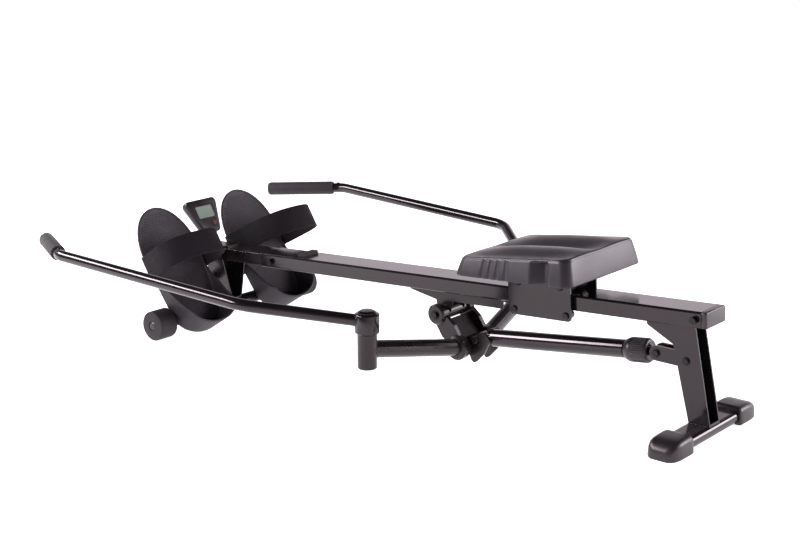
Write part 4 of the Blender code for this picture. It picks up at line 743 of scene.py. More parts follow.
@dataclass
class Footplate:
    """One moulded footplate with its strap."""

    side: str
    strap_height: float
    strap_lean: float
    tilt: float = math.radians(33.0)
    axle: tuple[float, float, float] = (-0.5842, 0.137, 0.096)
    half: float = 0.087
    heel_half: float = 0.076
    toe: float = 0.204
    heel: float = -0.125
    heel_roundness: float = 0.72
    widest: float = 0.084
    side_shares: tuple[float, ...] = (0.14, 0.3, 0.5, 0.7, 0.86)
    standoff: float = 0.0236
    thick: float = 0.005
    rim: float = 0.0025
    wall: float = 0.005
    under_edge: tuple[float, float] = (0.0022, 0.0018)
    lip_ease: float = 0.0018
    fillet: float = 0.006
    cup_height: float = 0.066
    cup_start: float = 0.020
    cup_full: float = -0.085
    cup_swell: float = 0.05
    ear_at: float = 0.040
    ear_half: float = 0.006
    ear_reach: float = 0.012
    ear_root: float = 0.024
    ear_corner: float = 0.011
    stud_pitch: float = 0.0075
    stud_row_share: float = 0.866
    stud_start: float = 0.012
    stud_margin: float = 0.0125
    strap_width: float = 0.060
    strap_thick: float = 0.004
    strap_along: float = 0.060
    loop_start: float = 0.004
    loop_bulge: float = 0.012
    stitch_pitch: float = 0.004
    stitch_edge: float = 0.005

    @property
    def body(self) -> str:
        """Name of the body that the plate rides on."""
        return f"footplate_{self.side}"

    @property
    def heel_rise(self) -> float:
        """Length of the rounded heel end along the plate."""
        return self.heel_half * self.heel_roundness

    @property
    def stand(self) -> Matrix:
        """Frame on the axle: X out of the plate, Z to the toe."""
        x, y, z = self.axle
        return at(x, SIDES[self.side] * y, z) @ Matrix.Rotation(-self.tilt, 4, "Y")

    def outline(self, steps: int = 44) -> Outline:
        """Sole outline in (across, along)."""
        base = self.heel + self.heel_rise
        points = []
        for step in range(steps + 1):
            angle = math.pi * step / steps
            points.append((self.half * math.cos(angle),
                           self.widest + (self.toe - self.widest) * math.sin(angle)))
        for share in self.side_shares:
            points.append((-self.half + (self.half - self.heel_half) * share,
                           self.widest + (base - self.widest) * share))
        for step in range(steps + 1):
            angle = math.pi + math.pi * step / steps
            points.append((self.heel_half * math.cos(angle),
                           base + self.heel_rise * math.sin(angle)))
        for share in self.side_shares:
            points.append((self.heel_half + (self.half - self.heel_half) * share,
                           base + (self.widest - base) * share))
        return points

    def wall_top(self, along: float) -> float:
        """Height of the rim or heel cup at a place along the plate."""
        reach = self.cup_start - self.cup_full
        share = min(max((self.cup_start - along) / reach, 0.0), 1.0)
        eased = share + self.cup_swell * math.sin(2 * math.pi * share)
        low = self.standoff + self.rim
        return low + (self.standoff + self.cup_height - low) * eased

    def section(self, top: float) -> Outline:
        """Wall from its underside over the rim to the sole, as rows of inset and height."""
        back, sole = self.standoff - self.thick, self.standoff
        ease = min(self.lip_ease, (top - sole) * 0.4)
        soft = min(self.fillet, (top - sole) * 0.45)
        inset, lift = self.under_edge
        low, high, inner = back + lift, top - ease, sole + soft
        rows = [(inset, back)]
        rows += [(0.0, low + (high - low) * rise) for rise in (0.0, 0.5, 1.0)]
        rows += [(self.wall * turn, top - ease * (1 - math.sin(math.pi * turn)) * 0.9)
                 for turn in (0.3, 0.5, 0.7)]
        rows += [(self.wall, inner + (high - inner) * rise) for rise in (1.0, 0.5, 0.0)]
        rows += [(self.wall + soft * turn, sole + soft * (1 - turn) * 0.55) for turn in (0.3, 1.0)]
        return rows

    @staticmethod
    def moved_in(outline: Outline, index: int, inset: float) -> Vector:
        """Point of an outline moved inwards, square to it."""
        before, after = Vector(outline[index - 1]), Vector(outline[(index + 1) % len(outline)])
        along = (after - before).normalized()
        return Vector(outline[index]) + Vector((-along.y, along.x)) * inset

    def shell(self) -> bmesh.types.BMesh:
        """Sole with its rounded rim rising into the heel cup, and the ears on the axle."""
        outer = self.outline()
        sections = [self.section(self.wall_top(along)) for _, along in outer]
        rings = []
        for level in range(len(sections[0])):
            ring = []
            for index, section in enumerate(sections):
                inset, height = section[level]
                flat = self.moved_in(outer, index, inset)
                ring.append(self.stand @ Vector((height, flat.x, flat.y)))
            rings.append(ring)
        reach, root, corner = self.ear_reach, self.ear_root, self.ear_corner
        seat = self.standoff - self.thick + 0.002
        ear = rounded([(-reach, -reach), (seat, -root), (seat, root), (-reach, reach)],
                      [corner, 0, 0, corner], 8)
        parts = [loft(rings)]
        for way in (-1, 1):
            place = self.stand @ at(0, way * self.ear_at, 0) @ Matrix.Rotation(math.pi / 2, 4, "X")
            parts.append(slab(ear, -self.ear_half, self.ear_half, place))
        return merged(parts)

    def inside(self, across: float, along: float, margin: float) -> bool:
        """Whether a place lies on the flat of the sole."""
        base = self.heel + self.heel_rise
        if along > self.widest:
            share = (along - self.widest) / (self.toe - self.widest - margin)
            half = self.half
        elif along < base:
            share = (base - along) / (self.heel_rise - margin)
            half = self.heel_half
        else:
            share = (along - base) / (self.widest - base)
            return abs(across) < self.heel_half + (self.half - self.heel_half) * share - margin
        return share < 1 and abs(across) < (half - margin) * math.sqrt(1 - share * share)

    def studs(self) -> list[Spot]:
        """Low grip studs over the sole, clear of the strap and the rim."""
        turn = self.stand.to_3x3()
        facing, heading = turn @ Vector((1, 0, 0)), turn @ Vector((0, 0, 1))
        pitch, step = self.stud_pitch, self.stud_pitch * self.stud_row_share
        columns = math.ceil(self.half / pitch)
        spots = []
        for row in range(math.ceil((self.toe - self.heel) / step)):
            along = self.heel + self.stud_start + row * step
            for column in range(-columns, columns + 1):
                across = (column + 0.5 * (row % 2)) * pitch
                if self.inside(across, along, self.stud_margin):
                    spot = self.stand @ Vector((self.standoff + 0.0002, across, along))
                    spots.append((spot, facing, heading))
        return spots

    def strap_route(self, steps: int = 40) -> list[Vector]:
        """Strap's middle line round the sole, as (0, across, out of the plate)."""
        edge = self.half + self.strap_thick / 2 + GAP
        base = self.standoff - self.thick - self.strap_thick / 2 - GAP
        low = self.standoff + self.loop_start
        halves = []
        for bulge in (self.loop_bulge, 0.0):
            half = [(edge - 0.034, base), (edge - 0.012, base), (edge - 0.003, base + 0.0008),
                    (edge, base + 0.0035), (edge, low)]
            for step in range(1, steps // 2):
                angle = math.pi * step / steps
                across = (edge + bulge * math.sin(2 * angle)) * math.cos(angle) ** 0.7
                rise = (self.strap_height - self.loop_start) * math.sin(angle) ** 0.66
                half.append((across, low + rise))
            halves.append(half)
        outer, inner = halves
        points = outer + [(0, self.standoff + self.strap_height)]
        points += [(-across, out) for across, out in reversed(inner)]
        return [Vector((0, across * SIDES[self.side], out)) for across, out in points]

    def strap_middle(self, point: Vector) -> float:
        """Place along the plate of the band's middle; a high loop leans to the heel."""
        share = max(0.0, (point.z - self.standoff) / self.strap_height)
        return self.strap_along - self.strap_lean * share

    def strap_rings(self) -> tuple[list[list[Vector]], list[float]]:
        """Sections of the band with rounded selvedges, and each one's distance along it."""
        route = self.strap_route()
        half_thick = self.strap_thick / 2
        section = rounded_box(self.strap_width / 2, half_thick, half_thick * 0.95, 3)
        rings, lengths, travelled = [], [], 0.0
        for index, point in enumerate(route):
            before, after = route[max(index - 1, 0)], route[min(index + 1, len(route) - 1)]
            travelled += (point - before).length
            heading = (after - before).normalized()
            out = Vector((0, -heading.z, heading.y))
            ring = []
            for along, lift in section:
                spot = point + out * lift
                ring.append(self.stand @ Vector((spot.z, spot.y, self.strap_middle(point) + along)))
            rings.append(ring)
            lengths.append(travelled)
        return rings, lengths

    def strap(self) -> None:
        """Wide webbing strap with its own UV map, metres along and across."""
        rings, lengths = self.strap_rings()
        build = loft(rings)
        uv = build.loops.layers.uv.new("cloth")
        build.verts.index_update()
        size = len(rings[0])
        inverse = self.stand.inverted()
        for face in build.faces:
            for loop in face.loops:
                local = inverse @ loop.vert.co
                loop[uv].uv = (lengths[loop.vert.index // size], local.z)
        Piece(f"foot_strap_{self.side}", self.body, WEBBING, (f"strap_{self.side}",),
              sharp=60).place(build)

    def stitches(self) -> None:
        """Two rows of stitches along the band's edges, on both its faces."""
        route = self.strap_route()
        spots = []
        turn = self.stand.to_3x3()
        reach = self.strap_width / 2 - self.stitch_edge
        for start, end in zip(route[4:-5], route[5:-4]):
            heading = (end - start).normalized()
            out = Vector((0, -heading.z, heading.y))
            count = max(round((end - start).length / self.stitch_pitch), 1)
            for step in range(count):
                middle = start.lerp(end, (step + 0.5) / count)
                for edge in (-1, 1):
                    for face in (-1, 1):
                        spot = middle + out * face * (self.strap_thick / 2)
                        along = self.strap_middle(middle) + edge * reach
                        spots.append((self.stand @ Vector((spot.z, spot.y, along)),
                                      turn @ Vector((out.z, out.y, 0)) * face,
                                      turn @ Vector((heading.z, heading.y, 0))))
        thread = Piece(f"strap_stitches_{self.side}", self.body, WEBBING, sharp=180)
        Row(thread, Shape.BEAD, (0.0014, 0.0004, 0.0003)).place(spots)

    def build(self) -> None:
        """Make the plate, its studs, its strap and the stitches."""
        Piece(f"sole_{self.side}", self.body, PP_GREY, (f"pedal_{self.side}",),
              sharp=38).place(self.shell())
        studs = Piece(f"sole_studs_{self.side}", self.body, PP_GREY, sharp=25)
        Row(studs, Shape.STUD, (0.0021, 0.0021, 0.0007), 0.62).place(self.studs())
        self.strap()
        self.stitches()


@dataclass
class Display:
    """Small counter on its arm."""

    tilt: float = math.radians(33.0)
    place_x: float = -0.6302
    place_z: float = 0.2444
    top_half: float = 0.053
    foot_half: float = 0.026
    length: float = 0.090
    thick: float = 0.022
    screen: tuple[float, float, float] = (0.052, 0.032, 0.010)
    screen_corner: float = 0.003
    button: tuple[float, float, float] = (0.0055, 0.014, -0.022)
    well_depth: float = 0.008

    @property
    def stand(self) -> Matrix:
        """Frame on the face: Z out of it, Y up it."""
        quarter = math.pi / 2
        return (at(self.place_x, 0, self.place_z) @ Matrix.Rotation(quarter, 4, "Z")
                @ Matrix.Rotation(quarter - self.tilt, 4, "X"))

    def face_outline(self, inset: float) -> Outline:
        """Tapered outline of the case, drawn in by an inset."""
        half = self.length / 2 - inset
        low, high = self.foot_half - inset, self.top_half - inset
        return rounded([(-low, -half), (low, -half), (high, half), (-high, half)],
                       [0.012, 0.012, 0.010, 0.010], 6)

    def case(self) -> bmesh.types.BMesh:
        """Two half shells with a parting line between them."""
        back = -self.thick
        rows = [(back, 0.006), (back + 0.0012, 0.0025), (back + 0.004, 0.0006), (-0.0118, 0.0),
                (-0.0112, 0.0006), (-0.0104, 0.0006), (-0.0098, 0.0), (-0.0035, 0.0),
                (-0.0012, 0.0008), (0.0, 0.003)]
        return loft([[self.stand @ Vector((x, y, z)) for x, y in self.face_outline(inset)]
                     for z, inset in rows])

    def build(self) -> None:
        """Make the case with its two wells, and dress the window, the key and the arm."""
        case = Piece("display_case", "frame", ABS_BLACK, ("console_housing",),
                     sharp=35).place(self.case())
        width, height, up = self.screen
        window = rounded_box(width / 2, height / 2, self.screen_corner, 5, up)
        bore_out(case, slab(window, -0.0016, 0.01, self.stand))
        radius, across, down = self.button
        well = [(0.0, -self.well_depth), (radius + GAP, -self.well_depth), (radius + GAP, 0.02),
                (0.0, 0.02)]
        bore_out(case, revolve(well, self.stand @ at(across, down, 0), 40))
        dress(LIQUID_CRYSTAL, "console_screen")
        dress(SILICONE, "console_button")
        dress(CAST_COAT, "console_bracket")


@dataclass
class Seat:
    """Moulded seat on its carriage."""

    middle: float = 0.402
    half_length: float = 0.132
    skirt_length: float = 0.143
    top_half: float = 0.126
    skirt_half: float = 0.138
    underside: float = 0.0395
    front_height: float = 0.037
    rear_height: float = 0.055
    cheek: float = 0.016
    cheek_fade: float = 0.45
    sag: float = 0.004
    corner: float = 0.022
    roll: float = 0.004
    flare_power: float = 1.25
    skirt_top: float = 0.9
    grooves: tuple[float, ...] = (-0.064, -0.047, -0.030, -0.010)
    groove_depth: float = 0.0022
    groove_width: float = 0.0030
    hold_start: tuple[float, float] = (0.043, 0.072)
    hold_end: tuple[float, float] = (0.081, 0.089)
    hold_depth: float = 0.0190
    dent_lip: tuple[float, float] = (0.84, 0.97)

    def top(self, share_x: float, share_y: float) -> float:
        """Height of the top above the underside; shares run from -1 to 1."""
        rise = self.front_height + (self.rear_height - self.front_height) * (share_x + 1) / 2
        ease = max(0.0, 1 - abs(share_x) ** 4) * max(0.0, 1 - abs(share_y) ** 5)
        cheek = self.cheek * math.sin(math.pi * min(abs(share_y) / 0.98, 1.0)) ** 1.2
        front = 1 - self.cheek_fade * max(0.0, -share_x) ** 2
        return rise + cheek * ease * front - self.sag * ease

    def rim(self, steps: int = 96) -> Outline:
        """Plan of the top edge in shares from -1 to 1, with rounded corners."""
        points = rounded_box(1, 1, self.corner / self.half_length, 8)
        spread: Outline = []
        for index, here in enumerate(points):
            after = points[(index + 1) % len(points)]
            count = max(round(math.dist(here, after) * steps / 2), 1)
            for step in range(count):
                share = step / count
                spread.append((here[0] + (after[0] - here[0]) * share,
                               here[1] + (after[1] - here[1]) * share))
        return spread

    def dent(self, along: float, level: float) -> float:
        """How far the skirt is drawn in at a place along it: finger grooves and a hand hold."""
        depth = sum(self.groove_depth * math.exp(-((along - place) / self.groove_width) ** 2)
                    for place in self.grooves)
        hold = smoothstep(*self.hold_start, along) * (1 - smoothstep(*self.hold_end, along))
        return (depth + self.hold_depth * hold) * (1 - smoothstep(*self.dent_lip, level))

    def skirt_ring(self, rim: Outline, level: float, shrink: float = 1.0) -> list[Vector]:
        """One ring of the skirt, at a share of the height from the underside to the top."""
        flare = 1 - level ** self.flare_power
        wide = self.top_half + (self.skirt_half - self.top_half) * flare
        long = self.half_length + (self.skirt_length - self.half_length) * flare
        ring = []
        for share_x, share_y in rim:
            height = self.top(share_x, share_y) * level
            pull = self.dent(self.half_length * share_x, level)
            pull *= smoothstep(0.9, 0.99, abs(share_y))
            ring.append(Vector((self.middle + long * share_x * shrink,
                                (wide - pull) * share_y * shrink, self.underside + height)))
        return ring

    def top_ring(self, rim: Outline, inset: float, drop: float) -> list[Vector]:
        """One ring of the top, drawn in by a share and let down by a depth."""
        ring = []
        for share_x, share_y in rim:
            x, y = share_x * (1 - inset), share_y * (1 - inset)
            ring.append(Vector((self.middle + self.half_length * x, self.top_half * y,
                                self.underside + self.top(x, y) - drop)))
        return ring

    def cushion(self) -> bmesh.types.BMesh:
        """Closed form: flat underside, flared skirt, rolled edge and a crowned top."""
        rim = self.rim()
        skirt_rows, roll_rows, top_rows = 20, 7, 36
        rings = [self.skirt_ring(rim, 0.0, share) for share in (0.3, 0.6, 0.94)]
        rings += [self.skirt_ring(rim, self.skirt_top * step / skirt_rows)
                  for step in range(skirt_rows + 1)]
        for step in range(roll_rows + 1):
            turn = math.pi / 2 * step / roll_rows
            inset = self.roll * (1 - math.cos(turn)) / self.top_half
            rings.append(self.top_ring(rim, inset, self.roll * (1 - math.sin(turn))))
        rings += [self.top_ring(rim, 0.045 + 0.93 * (step / top_rows) ** 0.9, 0.0)
                  for step in range(1, top_rows + 1)]
        stand = rail_frame()
        return loft([[stand @ point for point in ring] for ring in rings])

    def build(self) -> None:
        """Make the cushion and dress the carriage."""
        Piece("seat_pad", "seat", SKIN_FOAM, ("seat_cushion",), sharp=180,
              padded=0.9).place(self.cushion())
        dress(POWDER_COAT, "seat_carriage")
        dress(CAST_COAT, "seat_pan")
        dress(ABS_BLACK, *[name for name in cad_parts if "roller" in name])
        dress(BLACK_ZINC, *[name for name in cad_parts
                            if name.startswith(("seat_axle", "keeper_pin"))])


@dataclass
class Arms:
    """Crank under the rail, and the outer arms on their elbows."""

    elbow: tuple[float, float] = (0.150, 0.283)
    elbow_radius: float = 0.0205
    seam: float = 0.166
    collar_top: float = 0.208
    collar_radius: float = 0.0255
    tube_radius: float = 0.0127
    grip_radius: float = 0.0175
    grip_length: float = 0.178
    grip_end: float = 0.006
    screw_gap: float = 0.014
    corners: tuple[tuple[float, float, float], ...] = (
        (0.150, 0.283, 0.1895), (-0.0438, 0.4534, 0.2267), (-0.6013, 0.4742, 0.2409),
        (-0.7804, 0.3766, 0.2293))
    bends: tuple[float, float] = (0.085, 0.055)
    swing_inner: tuple[float, float, float] = (0.206, 0.0488, 0.087)
    swing_outer_z: float = 0.131
    swing_radius: float = 0.0185

    def points(self, side: str) -> list[Vector]:
        """Corners of one arm's centre line."""
        return [Vector((x, SIDES[side] * y, z)) for x, y, z in self.corners]

    def route(self, side: str, steps: int = 12) -> list[Vector]:
        """Centre line of an outer arm, with an arc at each bend."""
        points = self.points(side)
        route = [points[0]]
        for before, here, after, radius in zip(points, points[1:], points[2:], self.bends):
            back, on = (before - here).normalized(), (after - here).normalized()
            half = back.angle(on) / 2
            middle = here + (back + on).normalized() * (radius / math.sin(half))
            reach = radius / math.tan(half)
            start, end = here + back * reach - middle, here + on * reach - middle
            turn = start.angle(end)
            for step in range(steps + 1):
                share = step / steps
                arc = start * math.sin((1 - share) * turn) + end * math.sin(share * turn)
                route.append(middle + arc / math.sin(turn))
        route.append(points[-1])
        return route

    def outer_arm(self, side: str) -> None:
        """Bent tube welded to its collar."""
        seam, top, radius = self.seam + GAP, self.collar_top, self.collar_radius
        collar = [(0.0, seam), (radius - 0.0015, seam), (radius, seam + 0.0015),
                  (radius, top - 0.003), (radius - 0.0008, top - 0.0012), (radius - 0.003, top),
                  (0.0, top)]
        post = at(self.elbow[0], SIDES[side] * self.elbow[1], 0)
        parts = [sweep_tube(self.route(side), self.tube_radius), revolve(collar, post, 56)]
        Piece(f"arm_tube_{side}", f"arm_{side}", POWDER_COAT, (f"outer_arm_{side}",)).place(
            merged(parts))

    def welds(self, side: str) -> None:
        """Weld beads where the arm leaves its collar and the crank's tube meets the elbow."""
        start, after = self.points(side)[:2]
        weld(f"collar_weld_{side}", f"arm_{side}", POWDER_COAT,
             bead_saddle(start, after - start, self.tube_radius, self.collar_radius))
        elbow = Vector((self.elbow[0], SIDES[side] * self.elbow[1], self.swing_outer_z))
        x, y, z = self.swing_inner
        inner = Vector((x, SIDES[side] * y, z))
        weld(f"elbow_weld_{side}", "crank", CAST_COAT,
             bead_saddle(elbow, inner - elbow, self.swing_radius, self.elbow_radius))

    def grip(self, side: str) -> None:
        """Foam sleeve with a rolled mouth and a domed closed end."""
        *_, before, end = self.points(side)
        heading = (before - end).normalized()
        length = self.grip_length + self.grip_end + GAP
        radius, bore = self.grip_radius, self.tube_radius + GAP
        profile = [(0.0, 0.0), (radius * 0.55, 0.0002), (radius * 0.82, 0.0012),
                   (radius * 0.95, 0.0035), (radius, 0.0075), (radius, length * 0.5),
                   (radius, length - 0.004), (radius - 0.0008, length - 0.0012),
                   (radius - 0.0026, length), (bore, length), (bore, self.grip_end),
                   (0.0, self.grip_end)]
        Piece(f"foam_grip_{side}", f"arm_{side}", SLEEVE_FOAM, (f"grip_{side}",)).place(
            revolve(profile, toward(end - heading * (self.grip_end + GAP), heading)))

    def tube_screw(self, side: str) -> None:
        """Small dome-headed screw behind the grip, as the far arm shows."""
        *_, before, end = self.points(side)
        heading = (before - end).normalized()
        spot = end + heading * (self.grip_length + self.screw_gap)
        up = (Vector((0, 0, 1)) - heading * heading.z).normalized()
        head = [(0.0, 0.0022), (0.0022, 0.0020), (0.0036, 0.0012), (0.0040, 0.0),
                (0.0040, -0.0012), (0.0, -0.0012)]
        Piece(f"arm_screw_{side}", f"arm_{side}", BLACK_ZINC, sharp=50).place(
            revolve(head, toward(spot + up * self.tube_radius, up), 20))

    def build(self) -> None:
        """Dress the crank and make both arms."""
        dress(CAST_COAT, "arm_crank", "arm_saddle")
        dress(BLACK_ZINC, "pivot_bolt", "elbow_pin_left", "elbow_pin_right")
        for side in SIDES:
            self.outer_arm(side)
            self.welds(side)
            self.grip(side)
            self.tube_screw(side)


@dataclass
class Damper:
    """Hydraulic cylinder with its setting ring, from the rear leg to the crank."""

    clevis: tuple[float, float] = (0.669, 0.1645)
    lug: tuple[float, float] = (0.2335, 0.1045)
    ring_rear: float = 0.020
    ring_front: float = 0.074
    ring_radius: float = 0.026
    neck: float = 0.0168
    ribs: int = 40
    rib_rows: int = 6
    rib_start: float = 0.0075
    rib_pitch: float = 0.0052

    @property
    def stand(self) -> Matrix:
        """Frame on the rear pin, Z along the cylinder to the crank."""
        x, z = self.clevis
        return toward((x, 0, z), (self.lug[0] - x, 0, self.lug[1] - z), (0, 1, 0))

    def setting_ring(self) -> None:
        """Moulded ring with a collar at its front."""
        rear, front, radius, neck = self.ring_rear, self.ring_front, self.ring_radius, self.neck
        profile = [(neck, rear), (radius - 0.006, rear), (radius - 0.0035, rear + 0.001),
                   (radius - 0.0018, rear + 0.0035), (radius - 0.0016, front - 0.019),
                   (radius - 0.0006, front - 0.017), (radius - 0.0006, front - 0.012),
                   (radius - 0.0022, front - 0.007), (radius - 0.005, front - 0.001),
                   (radius - 0.006, front), (neck, front)]
        Piece("setting_ring", "dial", ABS_BLACK, ("resistance_dial",), sharp=38).place(
            revolve(profile, self.stand, 72))

    def grip_ribs(self) -> None:
        """Raised ribs round the ring."""
        turn = self.stand.to_3x3()
        spots = []
        for angle in turns(self.ribs):
            out = Vector((math.cos(angle), math.sin(angle), 0))
            for row in range(self.rib_rows):
                along = self.ring_rear + self.rib_start + row * self.rib_pitch
                spot = out * (self.ring_radius - 0.0019) + Vector((0, 0, along))
                spots.append((self.stand @ spot, turn @ out, turn @ Vector((0, 0, 1))))
        ribs = Piece("setting_ring_ribs", "dial", ABS_BLACK, sharp=180)
        Row(ribs, Shape.BEAD, (0.0042, 0.0009, 0.0013)).place(spots)

    def build(self) -> None:
        """Dress the cylinder and make the ring."""
        dress(POWDER_COAT, "cylinder_body", "cylinder_bracket")
        dress(HARD_CHROME, "piston_rod")
        dress(BLACK_ZINC, "clevis_bolt")
        self.setting_ring()
        self.grip_ribs()


@dataclass
class RearLeg:
    """Rear leg with its cross tube and feet."""

    foot_x: float = 0.7725
    half: float = 0.168
    length: float = 0.075
    width: float = 0.070
    height: float = 0.037
    top_share: float = 0.92
    tube: tuple[float, float, float] = (0.056, 0.0235, 0.004)
    tube_corner: float = 0.009
    tube_half: float = 0.118
    leg_x: float = 0.7185
    leg_lean: float = math.radians(15.4)
    leg_half: tuple[float, float] = (0.0215, 0.020)

    def foot(self, side: str) -> None:
        """Moulded foot: a rolled mouth round the tube, a domed end and a flat sole."""
        sign = SIDES[side]
        start = self.half - self.length
        stand = floor_frame(self.foot_x)
        rings = []
        for along, wide, tall, lift in (
                (0.0, 0.925, 0.93, 0.0008), (0.012, 0.95, 0.955, 0.0002), (0.05, 0.985, 0.99, 0.0),
                (0.14, 1.0, 1.0, 0.0), (0.40, 1.0, 0.995, 0.0), (0.60, 0.995, 0.975, 0.0),
                (0.75, 0.955, 0.92, 0.0), (0.86, 0.875, 0.82, 0.0), (0.935, 0.76, 0.68, 0.0),
                (0.98, 0.62, 0.52, 0.0), (1.0, 0.46, 0.36, 0.0006)):
            y = sign * (start + self.length * along)
            base, height = self.width * wide / 2, self.height * tall
            top = base * self.top_share
            outline = rounded([(-base, lift), (base, lift), (top, height), (-top, height)],
                              [0.004, 0.004, 0.012, 0.012], 9)
            rings.append([stand @ Vector((x, y, z)) for x, z in outline])
        foot = Piece(f"foot_{side}", "frame", ABS_BLACK, (f"rear_foot_cap_{side}",),
                     sharp=45).place(loft(rings))
        wide, tall, lift = self.tube
        bore = rounded_box(wide / 2 + GAP, tall / 2 + GAP, self.tube_corner, 8, lift + tall / 2)
        low, high = sorted((-sign * (start - 0.01), -sign * (self.tube_half + GAP)))
        bore_out(foot, slab(bore, low, high, stand @ Matrix.Rotation(math.pi / 2, 4, "X")))

    def leg_face(self, face: int, height: float) -> float:
        """Where a face of the leaning leg passes a height over the floor, along the floor."""
        under_rail = Matrix.Translation(rail_frame(self.leg_x, -RAIL_HEIGHT).translation)
        leg = under_rail @ Matrix.Rotation(-self.leg_lean, 4, "Y")
        to_floor = floor_frame(self.foot_x).inverted() @ leg
        high, low = (to_floor @ Vector((face * self.leg_half[0], 0, z)) for z in (0, -0.2))
        return high.lerp(low, (high.z - height) / (high.z - low.z)).x

    def foot_weld(self) -> None:
        """Weld beads round the leg's foot on the cross tube."""
        stand = floor_frame(self.foot_x)
        turn = stand.to_3x3()
        top = self.tube[1] + self.tube[2] + 0.0006
        front, rear = (self.leg_face(face, top) for face in (-1, 1))
        side = self.leg_half[1]
        spots: list[Spot] = []
        for points, facing in ((((front, -side), (rear, -side)), (0, -1, 1)),
                               (((front, side), (rear, side)), (0, 1, 1)),
                               (((front, -side), (front, side)), (-1, 0, 1))):
            line = [stand @ Vector((x, y, top)) for x, y in points]
            spots += bead_line(line, (turn @ Vector(facing)).normalized())
        weld("leg_foot_weld", "frame", CAST_COAT, spots)

    def build(self) -> None:
        """Dress the leg and make the feet."""
        dress(POWDER_COAT, "rear_post", "rear_stabilizer")
        dress(BLACK_ZINC, "rear_post_bolt")
        self.foot_weld()
        for side in SIDES:
            self.foot(side)


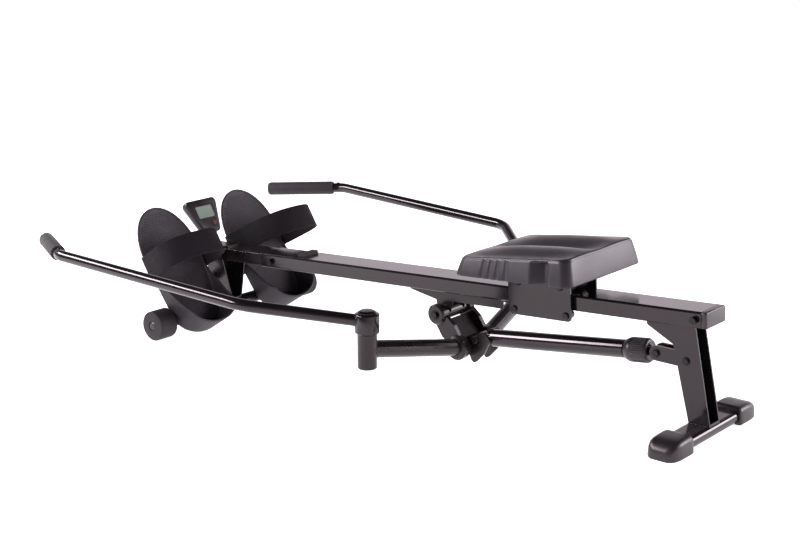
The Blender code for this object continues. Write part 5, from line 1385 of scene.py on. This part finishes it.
@dataclass
class Studio:
    """Pale floor, soft lights and the camera of the photograph."""

    focal_px: float = 1490.25
    eye: tuple[float, float, float] = (2.0723, -2.4669, 1.0946)
    right: tuple[float, float, float] = (0.7657, 0.6432, 0.0)
    up: tuple[float, float, float] = (-0.16847, 0.20055, 0.9651)
    forward: tuple[float, float, float] = (-0.62075, 0.73897, -0.26192)
    sensor: float = 36.0
    image_width: int = 800
    view_end: float = 200.0
    floor_reach: float = 60.0
    floor_glow: float = 0.9
    lamp_aim: tuple[float, float, float] = (0.0, 0.0, 0.1)
    bright_side: tuple[float, float, float] = (0.55, 0.84, 0.0)
    side_light: tuple[float, float] = (0.12, 1.95)
    wall_fade: tuple[float, float] = (0.22, 0.58)
    ceiling_light: float = 0.05
    wall_colour: str = "#fdf2fa"

    def camera(self) -> None:
        """Camera at the photograph's place, lens and angle."""
        lens = bpy.data.cameras.new("camera")
        lens.sensor_fit = "HORIZONTAL"
        lens.sensor_width = self.sensor
        lens.lens = self.focal_px * self.sensor / self.image_width
        lens.clip_end = self.view_end
        item = in_scene("camera", lens)
        axes = Matrix((self.right, self.up, [-value for value in self.forward]))
        item.matrix_world = PLACE @ at(*self.eye) @ axes.transposed().to_4x4()
        bpy.context.scene.camera = item

    def floor(self) -> None:
        """Plain pale floor, far wider than the view."""
        mesh = bpy.data.meshes.new("floor")
        mesh.from_pydata([(x * self.floor_reach, y * self.floor_reach, 0)
                          for x, y in ((-1, -1), (1, -1), (1, 1), (-1, 1))], [], [(0, 1, 2, 3)])
        material = bpy.data.materials.new("pale_floor")
        material.use_nodes = True
        shader = material.node_tree.nodes["Principled BSDF"]
        for name, value in (("Base Color", linear("#f6f6f6")), ("Roughness", 0.9),
                            ("Emission Color", linear("#ffffff")),
                            ("Emission Strength", self.floor_glow)):
            shader.inputs[name].default_value = value
        mesh.materials.append(material)
        item = in_scene("floor", mesh)

    def lamp(self, name: str, place: Sequence[float], size: tuple[float, float],
             power: float) -> None:
        """Soft rectangular lamp that looks at the machine's middle."""
        light = bpy.data.lights.new(name, "AREA")
        light.shape = "RECTANGLE"
        light.size, light.size_y = size
        light.energy = power
        in_scene(name, light).matrix_world = toward(place, Vector(place) - Vector(self.lamp_aim))

    def surroundings(self) -> bpy.types.World:
        """White walls low behind the machine, fading to a dark ceiling and a dim near side.

        Returns:
            The world; the camera itself sees plain white.
        """
        world = bpy.data.worlds.new("studio")
        world.use_nodes = True
        tree = world.node_tree
        way = add_node(tree, "ShaderNodeTexCoord").outputs["Generated"]
        height = add_node(tree, "ShaderNodeSeparateXYZ", {"in 0": way}).outputs["Z"]
        wall = add_node(tree, "ShaderNodeMapRange", {
            "interpolation_type": "SMOOTHSTEP", "in Value": height,
            "in From Min": self.wall_fade[0], "in From Max": self.wall_fade[1],
            "in To Min": 1.0, "in To Max": self.ceiling_light})
        facing = add_node(tree, "ShaderNodeVectorMath", {
            "operation": "DOT_PRODUCT", "in 0": way, "in 1": self.bright_side})
        side = add_node(tree, "ShaderNodeMapRange", {
            "in Value": facing.outputs["Value"], "in From Min": -1.0, "in From Max": 1.0,
            "in To Min": self.side_light[0], "in To Max": self.side_light[1]})
        both = add_node(tree, "ShaderNodeMath", {
            "operation": "MULTIPLY", "in 0": wall.outputs["Result"],
            "in 1": side.outputs["Result"]})
        seen = add_node(tree, "ShaderNodeLightPath").outputs["Is Camera Ray"]
        power = add_node(tree, "ShaderNodeMix", {
            "in 0": seen, "in 2": both.outputs["Value"], "in 3": 1.0})
        colour = add_node(tree, "ShaderNodeMix", {
            "data_type": "RGBA", "in 0": seen, "in 6": linear(self.wall_colour),
            "in 7": linear("#ffffff")})
        sky = tree.nodes["Background"]
        tree.links.new(power.outputs[0], sky.inputs["Strength"])
        tree.links.new(colour.outputs[2], sky.inputs["Color"])
        return world

    def build(self) -> None:
        """Set up floor, world, lamps and camera."""
        self.floor()
        scene = bpy.context.scene
        scene.world = self.surroundings()
        self.lamp("front_strip", (-2.8, -2.5, 2.45), (4.5, 0.8), 330.0)
        self.lamp("rear_softbox", (2.4, 1.9, 1.0), (1.6, 1.2), 70.0)
        scene.view_settings.view_transform = "Standard"
        scene.view_settings.look = "None"
        self.camera()


def main() -> None:
    """Build the studio and every sub-assembly in order."""
    logging.basicConfig(level=logging.INFO, format="%(message)s")
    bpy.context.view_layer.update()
    near_strap, far_strap = (0.122, 0.0), (0.172, 0.012)
    assemblies = (Studio(), Rail(), FrontFrame(), Footplate("left", *near_strap),
                  Footplate("right", *far_strap), Display(), Seat(), Arms(), Damper(), RearLeg())
    for assembly in assemblies:
        assembly.build()


if __name__ == "__main__":
    main()
